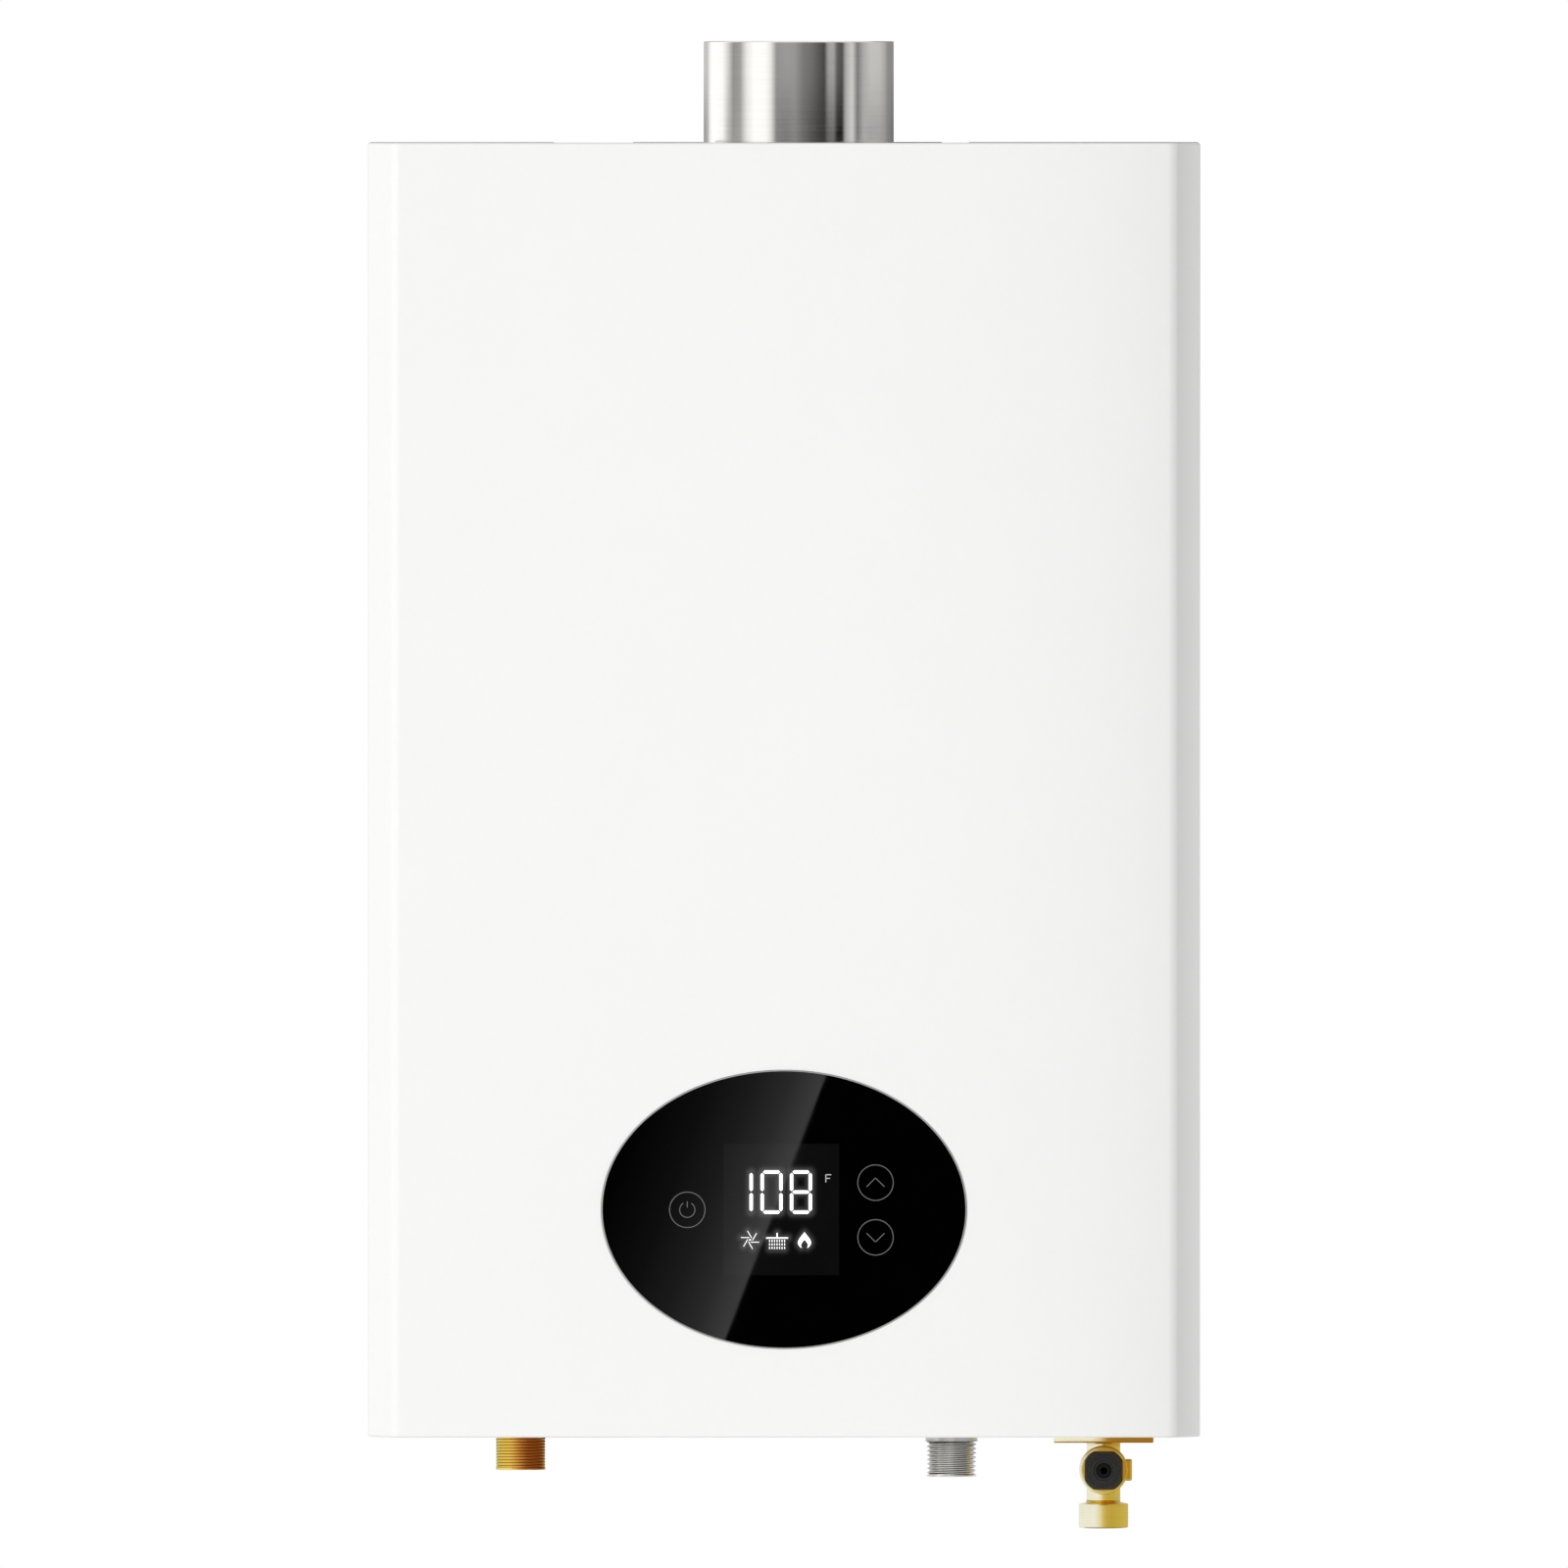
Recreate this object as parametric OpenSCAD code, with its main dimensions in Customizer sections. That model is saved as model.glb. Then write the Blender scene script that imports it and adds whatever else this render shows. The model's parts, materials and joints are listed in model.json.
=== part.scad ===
// Wall-hung tankless gas water heater: a sheet metal cabinet with a top flue, an oval touch
// panel and three pipe connections below, with the burner, exchanger, fan and valves inside.
// Frame: X to the right, Y towards the wall, Z up. The origin is the middle of the rear face.

/* [Cabinet] */
// Width of the cabinet
body_w = 350; // [340:1:400]
// Height of the front cover
body_h = 544; // [536:1:620]
// Depth from the wall to the front face
body_d = 135; // [133:1:160]
// Thickness of the sheet metal
sheet_t = 0.8; // [0.6:0.1:1.2]
// Gap between the cover and the chassis inside it
cover_gap = 0.3; // [0.2:0.05:0.6]
// Depth of the cover's sides
cover_d = 95; // [85:1:105]
// Width of the slanted strip on each vertical edge
slant_w = 11; // [8:0.5:16]
// Depth of the slanted strip
slant_d = 14; // [9:0.5:15]
// Bend radius between front face and slanted strip
front_bend_r = 5; // [2:0.5:7]
// Bend radius between slanted strip and side
side_bend_r = 4; // [2:0.5:7]
// Bend radius along the cover's top and bottom edges
edge_bend_r = 1.2; // [1:0.1:1.8]
// Depth of the cover's bottom lip
lip_d = 28; // [24:1:34]
// Distance of the two cover screws from the middle
cover_screw_x = 120; // [100:1:150]
// Overlap of the chassis sides inside the cover
overlap_d = 12; // [8:1:20]
// Width of the notch in the cover's top for the flue
notch_w = 175; // [150:1:190]
// Offset of that notch from the middle
notch_x = -9.5; // [-12:0.5:0]

/* [Wall fixing] */
// Distance between wall screws, side to side
wall_hole_dx = 280; // [260:1:300]
// Distance between wall screws, top to bottom
wall_hole_dz = 480; // [460:1:500]
// Diameter of the wall screw holes
wall_hole_d = 7; // [5:0.5:9]
// Depth of the stiffening beads pressed in the back
bead_h = 2.4; // [1.2:0.2:4]
// Width of those beads
bead_w = 12; // [8:1:16]

/* [Flue] */
// Outside diameter of the flue collar
collar_d = 80; // [70:1:84]
// Wall of the flue collar
collar_t = 0.9; // [0.6:0.1:1.5]
// Height of the collar above the cabinet
collar_h = 42.5; // [30:0.5:80]
// Offset of the collar to the right of the middle
collar_x = 6.2; // [0:0.1:10]
// Width of the collar's base plate
collar_plate_w = 130; // [122:1:136]
// Depth of the collar's base plate
collar_plate_d = 84; // [84:0.5:85]
// Offset of the base plate from the middle
collar_plate_x = 1.5; // [0:0.5:5]
// Thickness of the collar's base plate
collar_plate_t = 1; // [0.8:0.1:1.5]
// Thickness of the gasket under the chassis top
gasket_t = 2; // [1:0.5:3]

/* [Fan] */
// Radius of the fan wheel
wheel_r = 48; // [42:0.5:50]
// Number of blades
blade_count = 32; // [20:1:40]
// Radial length of a blade
blade_l = 9; // [6:0.5:12]
// Thickness of a blade
blade_t = 0.8; // [0.6:0.1:1.2]
// Width of the scroll's outlet duct
duct_w = 72; // [66:1:76]
// Clearance between wheel and scroll at the tongue
tongue_gap = 6; // [4:0.5:8]
// Drop from the outlet flange to the wheel's axis
wheel_drop = 85; // [80:1:90]
// Sideways offset of the wheel's axis from the duct
wheel_side = 42; // [40:0.5:46]
// Radius of the scroll's inlet eye
eye_r = 36; // [28:1:38]
// Radius of the fan shaft
shaft_r = 3; // [2:0.5:4]
// Radius of the fan motor
motor_r = 30; // [24:1:36]
// Length of the fan motor in front of the scroll
motor_l = 22; // [16:1:25]

/* [Exchanger and burner] */
// Width of the heat exchanger
exchanger_w = 190; // [170:1:194]
// Height of the heat exchanger
exchanger_h = 175; // [160:1:180]
// Gap between exchanger and back panel
exchanger_back = 12; // [11:0.5:13]
// Wall of the exchanger shell
shell_t = 1; // [0.8:0.1:1.5]
// Radius of the exchanger's water tubes
tube_r = 6.5; // [5:0.25:7]
// Number of fins
fin_count = 30; // [16:1:40]
// Thickness of a fin
fin_t = 0.5; // [0.4:0.1:0.8]
// Height of the fins
fin_h = 44; // [30:1:50]
// Height of the exhaust hood
hood_h = 35; // [25:1:38]
// Height of the burner box
burner_h = 52; // [48:1:56]
// Number of burner bars
bar_count = 10; // [6:1:11]
// Width of a burner bar
bar_w = 11; // [8:0.5:13]
// Radius of the mixing tube in a burner bar
venturi_r = 4; // [3:0.25:4.5]

/* [Connections] */
// Outside diameter of the half-inch pipe threads
thread_d = 20.955; // [20:0.005:22]
// Hot outlet, distance from the middle
hot_x = -111; // [-116:0.5:-109]
// Hot outlet, reach below the cover
hot_drop = 15.2; // [12:0.1:25]
// Gas inlet, distance from the middle
gas_x = 70.6; // [66:0.1:74]
// Gas inlet, reach below the cover
gas_drop = 18.1; // [14:0.1:28]
// Diameter of the ring above the gas thread
gas_ring_d = 22; // [21:0.1:24]
// Cold inlet, distance from the middle
cold_x = 134.6; // [130:0.1:142]
// Cold inlet, reach below the cover
cold_drop = 39.8; // [36:0.1:50]
// Length of the cold inlet's threaded end
cold_thread_l = 10.8; // [9:0.1:13]
// Diameter of the cold inlet's neck
neck_d = 14.2; // [13:0.1:16]
// Width of the cold inlet's flange plate
flange_w = 42; // [40:0.5:48]
// Depth of the cold inlet's flange plate
flange_d = 24; // [20:0.5:30]
// Reach of that plate below the cover
flange_drop = 3.7; // [2:0.1:5]
// Radius of the pipes inside the cabinet
pipe_r = 7.5; // [6:0.25:8]
// Wall of the pipes
pipe_t = 1; // [0.6:0.1:1.5]
// Bend radius of the pipes
pipe_bend = 12; // [11:0.5:12]

/* [Drain valve] */
// Drop of the drain valve's axis below the cover
drain_drop = 15.1; // [14:0.1:18]
// Diameter of the drain valve's boss
boss_d = 20.4; // [18:0.1:21]
// Reach of the boss in front of the neck's axis
boss_l = 17; // [15:0.5:22]
// Side lug, reach from the axis
lug_reach = 12; // [11:0.1:15]
// Side lug, height
lug_h = 9; // [6:0.5:11]
// Radius of the drain knob's corners
knob_r = 9; // [8.6:0.1:10]
// Distance of the knob's flats from its axis
knob_flat = 8; // [7.4:0.1:8.4]
// Length of the knob
knob_l = 8; // [6:0.5:12]
// Radius of the knob's threaded skirt
skirt_r = 6.3; // [5.5:0.1:6.5]
// Radius of the drain nozzle
nozzle_r = 2.9; // [2.5:0.1:3.2]
// Radius of the drain nozzle's bore
nozzle_bore_r = 1.45; // [1:0.05:1.8]

/* [Display] */
// Width of the oval glass
glass_w = 153.6; // [130:0.2:170]
// Height of the oval glass
glass_h = 117; // [104:0.2:130]
// Thickness of the glass
glass_t = 3; // [2:0.2:4]
// How far the glass stands proud of the cover
glass_proud = 0.8; // [0.2:0.1:1.2]
// Bevel on the glass edge
glass_bevel = 0.5; // [0.3:0.1:0.8]
// Height of the glass centre above the cover's lower edge
glass_z = 95.9; // [90:0.1:100]
// Width of the lit display window
window_w = 48.6; // [40:0.2:52]
// Height of the lit display window
window_h = 55.2; // [44:0.2:58]
// Offset of the lit window from the middle
window_x = -1.1; // [-3:0.1:3]
// Distance of the left touch key from the middle
left_key_x = 41; // [36:0.5:46]
// Distance of the right touch keys from the middle
right_key_x = 38.4; // [36:0.5:46]
// Distance between the two right touch keys
key_pitch = 23; // [20:0.5:28]

/* [Hidden] */
$fn = 48;

// How far a cutting shape runs past what it cuts
cut = 1;
// Clearance round a part that passes through a hole
hole_gap = 0.5;
// Clearance between a sliding or turning part and its seat
move_gap = 0.3;
// Clearance of a shaft in its bearing
bearing_gap = 0.05;
// Clearance of a part set in a recess
seat_gap = 0.2;

// Cabinet planes
z_bot = -body_h / 2;
z_top = body_h / 2;
y_front = -body_d;
y_cover_back = y_front + cover_d;
chassis_hw = body_w / 2 - sheet_t - cover_gap;
chassis_bot = z_bot + sheet_t + cover_gap;
chassis_top = z_top - sheet_t - cover_gap;
floor_z = chassis_bot + sheet_t;
roof_z = chassis_top - sheet_t;
back_y = -sheet_t;
wall_reach = body_d - slant_d - 2;
chassis_bend_r = 3;

// Depths that follow the cabinet's depth
mid_y = (body_d - 1) / 2;
collar_y = mid_y;
fitting_y = mid_y;
notch_strip = body_d - collar_y - collar_plate_d / 2 - 2;
scroll_d = body_d - 63;
wheel_w = scroll_d - 24;
exchanger_d = body_d - 43;

// Screws
screw_r = 1.6;
head_r = 3;
head_h = 2;

// Flue and fan, from the top down
collar_top = z_top + collar_h;
scroll_top = roof_z - gasket_t;
scroll_flange_t = 1.2;
scroll_flange_w = collar_plate_w - 4;
scroll_flange_d = collar_plate_d - 2;
duct_bottom = scroll_top - scroll_flange_t;
wheel_x = collar_x - wheel_side;
wheel_z = duct_bottom - wheel_drop;
tongue_r = wheel_r + tongue_gap;
scroll_r = wheel_side + duct_w / 2;
tongue_angle = acos((wheel_side - duct_w / 2) / tongue_r);
scroll_front = -collar_y - scroll_d / 2;
scroll_back = -collar_y + scroll_d / 2;
wheel_back = -collar_y + wheel_w / 2;
motor_front = scroll_front - motor_l;
collar_screw_dx = collar_plate_w - 14;
collar_screw_dy = collar_plate_d - 14;
motor_screw_r = motor_r + 6;

// Radius of the scroll's outer wall at an angle
function scroll_radius(a) =
    tongue_r + (scroll_r - tongue_r) * (a - tongue_angle) / (360 - tongue_angle);

// Hood, exchanger and burner, from the top down
hood_top = floor(wheel_z - scroll_radius(270)) - 6;
shell_top = hood_top - hood_h;
shell_bot = shell_top - exchanger_h;
shell_back = -exchanger_back;
shell_front = shell_back - exchanger_d;
shell_mid = (shell_back + shell_front) / 2;
burner_bot = shell_bot - burner_h;
tube_z = shell_top - 30;
tube_count = 5;
tube_pitch = (exchanger_d - 7) / tube_count;
tube_end = exchanger_w / 2 + 2;
manifold_z = burner_bot + 26;
manifold_h = 14;
manifold_d = 12;
nozzle_stand = 1.2;
manifold_back = shell_front - nozzle_stand;
manifold_y = manifold_back - manifold_d / 2;
bar_pitch = (exchanger_w - 12) / bar_count;
bar_front = shell_front + shell_t + 2;
bar_back = shell_back - shell_t - 4;

// Pieces beside the exchanger keep clear of the cabinet's sides
side_gap = 2.6;
side_x = chassis_hw - sheet_t - side_gap;

// Connections, from the bottom up
pipe_y = -fitting_y;
thread_r = thread_d / 2;
valve_bot = z_bot + 22;
valve_h = 45;
valve_top = valve_bot + valve_h;
valve_hw = 28;
valve_front = manifold_y - 8;
valve_back = pipe_y + 22;
coil_r = 13;
coil_gap = 2.5;
coil_h = min(34, burner_bot - coil_gap - valve_top);
coil_y = pipe_y - 5;
shutoff_x = gas_x - 14;
modulating_x = gas_x + 14;
plunger_r = 6;
plunger_travel = 3;
plunger_seat_z = valve_top - 20;
plunger_top = valve_top + coil_h - 10;
gas_bore_r = 7;
water_bore_r = 5;
spigot_r = 9;
spigot_top = z_bot + 16;
sensor_r = 13.5;
sensor_h = 62;
sensor_top = floor_z + sensor_h;
rotor_r = 9.5;
rotor_h = 18;
rotor_z = floor_z + 20;
chamber_r = 11;
spindle_r = 1.5;
pipe_socket = 8;
hot_fitting_top = floor_z + 20;
fitting_screw_x = 17.5;
hot_bend_z = z_bot + 50;
grommet_x = -30;
grommet_y = 30;
grommet_bore_r = 3.5;
grommet_r = 8;
grommet_lip = 2;

// Drain valve
drain_z = z_bot - drain_drop;
boss_front = pipe_y - boss_l;
skirt_l = 7;
boss_bore_r = skirt_r + move_gap;
boss_bore_l = skirt_l + 3;
knob_back = boss_front - move_gap;
knob_front = knob_back - knob_l;
poppet_seat = boss_front + boss_bore_l;

// Display stack, from the front back
display_z = z_bot + glass_z;
glass_front = y_front - glass_proud;
glass_back = glass_front + glass_t;
carrier_front = y_front + sheet_t;
carrier_t = 5;
carrier_back = carrier_front + carrier_t;
carrier_rim = 8;
post_l = 6;
board_front = carrier_back + post_l;
board_t = 1.6;
board_w = 116;
board_h = 70;
post_dx = board_w - 8;
post_dz = board_h - 8;

// Shapes used by several parts

module block(lo, hi) {
    translate(lo) cube(hi - lo);
}

module along_x(p, r, h) {
    translate(p) rotate([0, 90, 0]) cylinder(r = r, h = h);
}

module along_y(p, r, h) {
    translate(p) rotate([-90, 0, 0]) cylinder(r = r, h = h);
}

module along_z(p, r, h) {
    translate(p) cylinder(r = r, h = h);
}

// Ring or tube standing on z = 0
module tube(r, bore, h) {
    difference() {
        cylinder(r = r, h = h);
        translate([0, 0, -cut]) cylinder(r = bore, h = h + 2 * cut);
    }
}

// Flat plan shape given in X and Z, standing between two depths
module upright(y0, y1) {
    translate([0, y1, 0]) rotate([90, 0, 0]) linear_extrude(y1 - y0) children();
}

// Slot with round ends along X, cut through z
module slot(l, w, h) {
    for (s = [-1, 1]) translate([s * (l - w) / 2, 0, 0]) cylinder(r = w / 2, h = h);
    translate([-(l - w) / 2, -w / 2, 0]) cube([l - w, w, h]);
}

function oval(w, h, n = 72) =
    [for (i = [0 : n - 1]) let (a = 360 * i / n) [w / 2 * cos(a), h / 2 * sin(a)]];

function arc(c, r, a0, a1, n = 5) =
    [for (i = [0 : n]) let (a = a0 + (a1 - a0) * i / n) c + r * [cos(a), sin(a)]];

// Skin through rings of equal point counts, closed at both ends
module loft(rings) {
    n = len(rings[0]);
    m = len(rings);
    sides = [for (k = [0 : m - 2]) for (i = [0 : n - 1]) let (j = (i + 1) % n)
        each [[k * n + i, (k + 1) * n + i, (k + 1) * n + j], [k * n + i, (k + 1) * n + j, k * n + j]]];
    first = [for (i = [0 : n - 1]) i];
    last = [for (i = [n - 1 : -1 : 0]) (m - 1) * n + i];
    polyhedron(points = [for (ring = rings) each ring], faces = concat([first], sides, [last]));
}

function unit(v) = v / norm(v);

// Round rod through square-cornered way points, with bent corners
module rod_run(points, r, bend, over = 0) {
    n = len(points);
    for (i = [0 : n - 2]) {
        d = unit(points[i + 1] - points[i]);
        a = points[i] + d * (i == 0 ? -over : bend);
        b = points[i + 1] - d * (i == n - 2 ? -over : bend);
        translate(a) rotate([0, acos(d[2]), atan2(d[1], d[0])]) cylinder(r = r, h = norm(b - a));
    }
    for (i = [1 : 1 : n - 2]) {
        a = unit(points[i] - points[i - 1]);
        b = unit(points[i + 1] - points[i]);
        c = points[i] + bend * (b - a);
        z = cross(a, b);
        multmatrix([[-b[0], a[0], z[0], c[0]], [-b[1], a[1], z[1], c[1]], [-b[2], a[2], z[2], c[2]]])
            rotate_extrude(angle = 90) translate([bend, 0]) circle(r = r);
    }
}

// Pipe along the same kind of route
module pipe_run(points, r, wall, bend) {
    difference() {
        rod_run(points, r, bend);
        rod_run(points, r - wall, bend, cut);
    }
}

// Screw along +Z with its head below z = 0
module pan_screw(l) {
    translate([0, 0, -head_h]) cylinder(r1 = head_r * 0.8, r2 = head_r, h = head_h);
    cylinder(r = screw_r, h = l);
}

// Screw along +Z with its head sunk flush in z = 0
module sunk_screw(l) {
    cylinder(r1 = head_r, r2 = screw_r, h = head_r - screw_r);
    translate([0, 0, head_r - screw_r]) cylinder(r = screw_r, h = l - head_r + screw_r);
}

// Seat for that screw
module sunk_hole(l) {
    translate([0, 0, -seat_gap])
        cylinder(r1 = head_r + 2 * seat_gap, r2 = screw_r + seat_gap, h = head_r - screw_r + 2 * seat_gap);
    translate([0, 0, -cut]) cylinder(r = screw_r + seat_gap, h = l + cut);
}

// Cabinet

// Plan outline of the cover, moved inwards by inset, open side at y = back
function cover_half(inset, back) =
    let (
        slant = atan2(slant_w, slant_d),
        n_side = [1, 0],
        n_slant = [cos(slant), -sin(slant)],
        n_front = [0, -1],
        corner_a = [body_w / 2, y_front + slant_d],
        corner_b = [body_w / 2 - slant_w, y_front],
        centre_a = corner_a - side_bend_r * (n_side + n_slant) / (1 + n_side * n_slant),
        centre_b = corner_b - front_bend_r * (n_slant + n_front) / (1 + n_slant * n_front)
    )
    concat(
        [[body_w / 2 - inset, back]],
        arc(centre_a, side_bend_r - inset, 0, -slant),
        arc(centre_b, front_bend_r - inset, -slant, -90));

function cover_outline(inset, back) =
    let (right = cover_half(inset, back), n = len(right))
    concat([for (p = right) [-p[0], p[1]]], [for (i = [n - 1 : -1 : 0]) right[i]]);

// Inset and height of the rounded top and bottom edges
edge_steps = 4;
edge_ring = [for (i = [0 : edge_steps])
    let (a = 90 * i / edge_steps) edge_bend_r * [1 - sin(a), 1 - cos(a)]];

module front_cover() {
    rings = concat(
        [for (e = edge_ring) [for (p = cover_outline(e[0], y_cover_back)) [p[0], p[1], z_bot + e[1]]]],
        [for (i = [edge_steps : -1 : 0]) let (e = edge_ring[i])
            [for (p = cover_outline(e[0], y_cover_back)) [p[0], p[1], z_top - e[1]]]]);
    inner_hw = body_w / 2 - sheet_t;
    color("whitesmoke") difference() {
        loft(rings);
        translate([0, 0, z_bot + sheet_t]) linear_extrude(body_h - 2 * sheet_t)
            polygon(cover_outline(sheet_t, y_cover_back + cut));
        block([-inner_hw, y_front + lip_d, z_bot - cut], [inner_hw, y_cover_back + cut, z_bot + 2 * cut]);
        block([notch_x - notch_w / 2, y_front + notch_strip, z_top - 2 * cut],
            [notch_x + notch_w / 2, y_cover_back + cut, z_top + cut]);
        translate([0, 0, display_z]) upright(y_front - cut, carrier_front + cut)
            polygon(oval(glass_w + 2 * seat_gap, glass_h + 2 * seat_gap));
        at_cover_screws() sunk_hole(2 * sheet_t);
    }
}

module at_cover_screws() {
    for (s = [-1, 1]) translate([s * cover_screw_x, -wall_reach + 6, z_bot]) children();
}

module cover_screws() {
    color("silver") at_cover_screws() sunk_screw(8);
}

module at_wall_holes() {
    for (sx = [-1, 1], sz = [-1, 1])
        translate([sx * wall_hole_dx / 2, 0, sz * wall_hole_dz / 2]) children();
}

// Upright stiffening beads pressed in from the wall side
bead_x = [-40, 40];
bead_z0 = -200;
bead_z1 = 200;

module bead(x, w, depth) {
    block([x - w / 2, -depth, bead_z0], [x + w / 2, 0, bead_z1]);
    for (z = [bead_z0, bead_z1]) along_y([x, -depth, z], w / 2, depth);
}

// Air slots in the cabinet floor
slot_w = 3;
slot_l = 34;
slot_rows = 9;
slot_pitch = 8;

module air_slots() {
    for (x = [-60, 20], i = [0 : slot_rows - 1])
        translate([x, pipe_y + 20 - slot_pitch * i, chassis_bot - cut])
            slot(slot_l, slot_w, sheet_t + 2 * cut);
}

// Back and side sheet in plan, with bent corners
function chassis_plan(inset, front) =
    let (hw = chassis_hw - inset, r = chassis_bend_r - inset, c = chassis_hw - chassis_bend_r)
    concat(
        [[hw, front]],
        arc([c, -chassis_bend_r], r, 0, 90),
        arc([-c, -chassis_bend_r], r, 90, 180),
        [[-hw, front]]);

module chassis() {
    side_d = body_d - cover_d + overlap_d;
    color("gainsboro") difference() {
        union() {
            translate([0, 0, chassis_bot]) linear_extrude(chassis_top - chassis_bot) difference() {
                polygon(chassis_plan(0, -side_d));
                polygon(chassis_plan(sheet_t, -side_d - cut));
            }
            for (z = [chassis_bot, roof_z])
                translate([0, 0, z]) linear_extrude(sheet_t) polygon(chassis_plan(0, -wall_reach));
            for (x = bead_x) bead(x, bead_w + 2 * sheet_t, bead_h + sheet_t);
        }
        for (x = bead_x) translate([0, 0.01, 0]) bead(x, bead_w, bead_h + 0.01);
        at_wall_holes() along_y([0, -2 * cut, 0], wall_hole_d / 2, 3 * cut);
        along_z([collar_x, -collar_y, roof_z - cut], collar_d / 2 + hole_gap, sheet_t + 2 * cut);
        along_z([hot_x, pipe_y, chassis_bot - cut], thread_r + hole_gap, sheet_t + 2 * cut);
        along_z([gas_x, pipe_y, chassis_bot - cut], gas_ring_d / 2 + hole_gap, sheet_t + 2 * cut);
        along_z([cold_x, pipe_y, chassis_bot - cut], spigot_r + hole_gap, sheet_t + 2 * cut);
        along_z([grommet_x, -grommet_y, chassis_bot - cut], grommet_r, sheet_t + 2 * cut);
        at_collar_screws() mirror([0, 0, 1]) sunk_hole(4 * cut);
        at_cover_screws() sunk_hole(4 * cut);
        for (x = [hot_x, cold_x], s = [-1, 1])
            translate([x + s * fitting_screw_x, pipe_y, chassis_bot - cut])
                cylinder(r = screw_r + seat_gap, h = sheet_t + 2 * cut);
        air_slots();
    }
}

module cable_grommet() {
    color("dimgray") translate([grommet_x, -grommet_y, chassis_bot]) difference() {
        union() {
            translate([0, 0, -0.8]) cylinder(r = grommet_r + grommet_lip, h = 0.8);
            cylinder(r = grommet_r - seat_gap, h = sheet_t);
            translate([0, 0, sheet_t]) cylinder(r = grommet_r + grommet_lip, h = 2.2);
            translate([0, 0, sheet_t + 2.2]) cylinder(r1 = grommet_r, r2 = grommet_bore_r + 1.5, h = 6);
        }
        translate([0, 0, -2 * cut]) cylinder(r = grommet_bore_r, h = 14);
    }
}

// Flue and fan

module at_collar_screws() {
    for (sx = [-1, 1], sy = [-1, 1])
        translate([collar_plate_x + sx * collar_screw_dx / 2, -collar_y + sy * collar_screw_dy / 2, 0])
            translate([0, 0, chassis_top + collar_plate_t]) children();
}

module flue_collar() {
    plate_hw = collar_plate_w / 2;
    r = collar_d / 2;
    tube_l = collar_top - duct_bottom;
    color("silver") difference() {
        union() {
            block([collar_plate_x - plate_hw, -collar_y - collar_plate_d / 2, chassis_top],
                [collar_plate_x + plate_hw, -collar_y + collar_plate_d / 2, chassis_top + collar_plate_t]);
            along_z([collar_x, -collar_y, duct_bottom], r, tube_l - collar_t / 2);
            translate([collar_x, -collar_y, collar_top - collar_t / 2]) rotate_extrude()
                translate([r - collar_t / 2, 0]) circle(r = collar_t / 2);
        }
        along_z([collar_x, -collar_y, duct_bottom - cut], r - collar_t, tube_l + 2 * cut);
        at_collar_screws() mirror([0, 0, 1]) sunk_hole(4 * cut);
    }
}

module flue_gasket() {
    color("lightgray") difference() {
        block([collar_plate_x - scroll_flange_w / 2, -collar_y - scroll_flange_d / 2, scroll_top],
            [collar_plate_x + scroll_flange_w / 2, -collar_y + scroll_flange_d / 2, roof_z]);
        along_z([collar_x, -collar_y, scroll_top - cut], collar_d / 2 + hole_gap, gasket_t + 2 * cut);
        at_collar_screws() translate([0, 0, -10]) cylinder(r = screw_r + seat_gap, h = 10);
    }
}

module collar_screws() {
    color("silver") at_collar_screws() mirror([0, 0, 1]) sunk_screw(9);
}

// Scroll outline seen from the front, moved inwards by inset
function scroll_outline(inset, top) = concat(
    [[collar_x - duct_w / 2 + inset, top]],
    [for (i = [0 : 40]) let (a = tongue_angle + (360 - tongue_angle) * i / 40, r = scroll_radius(a) - inset)
        [wheel_x + r * cos(a), wheel_z + r * sin(a)]],
    [[collar_x + duct_w / 2 - inset, top]]);

module fan_scroll() {
    color("lightsteelblue") difference() {
        union() {
            upright(scroll_front, scroll_back) polygon(scroll_outline(0, duct_bottom));
            block([collar_plate_x - scroll_flange_w / 2, -collar_y - scroll_flange_d / 2, duct_bottom],
                [collar_plate_x + scroll_flange_w / 2, -collar_y + scroll_flange_d / 2, scroll_top]);
            along_x([collar_x + duct_w / 2 - sheet_t / 2, switch_y, switch_z], nipple_r, nipple_l);
        }
        upright(scroll_front + sheet_t, scroll_back - sheet_t)
            polygon(scroll_outline(sheet_t, duct_bottom + 0.01));
        along_z([collar_x, -collar_y, duct_bottom], collar_d / 2 + hole_gap, 2 * cut + scroll_flange_t);
        along_y([wheel_x, scroll_back - 2 * cut, wheel_z], eye_r, 3 * cut);
        along_y([wheel_x, scroll_front - cut, wheel_z], shaft_r + 2, 3 * cut);
        at_motor_screws() translate([0, 0, -4 * cut]) cylinder(r = screw_r + seat_gap, h = 8 * cut);
        at_collar_screws() translate([0, 0, -12]) cylinder(r = screw_r + seat_gap, h = 12);
        along_x([collar_x + duct_w / 2 - 3, switch_y, switch_z], nipple_r - 0.8, nipple_l + 6);
    }
}

// Forward-curved blade in plan, between the wheel's inner and outer radius
function blade_line(side) = [for (i = [0 : 6]) let (
        t = i / 6,
        r = wheel_r - blade_l + blade_t + (blade_l - 2 * blade_t) * t,
        a = 14 * t * t + side * blade_t / 2 / r * 180 / PI)
    r * [cos(a), sin(a)]];

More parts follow.
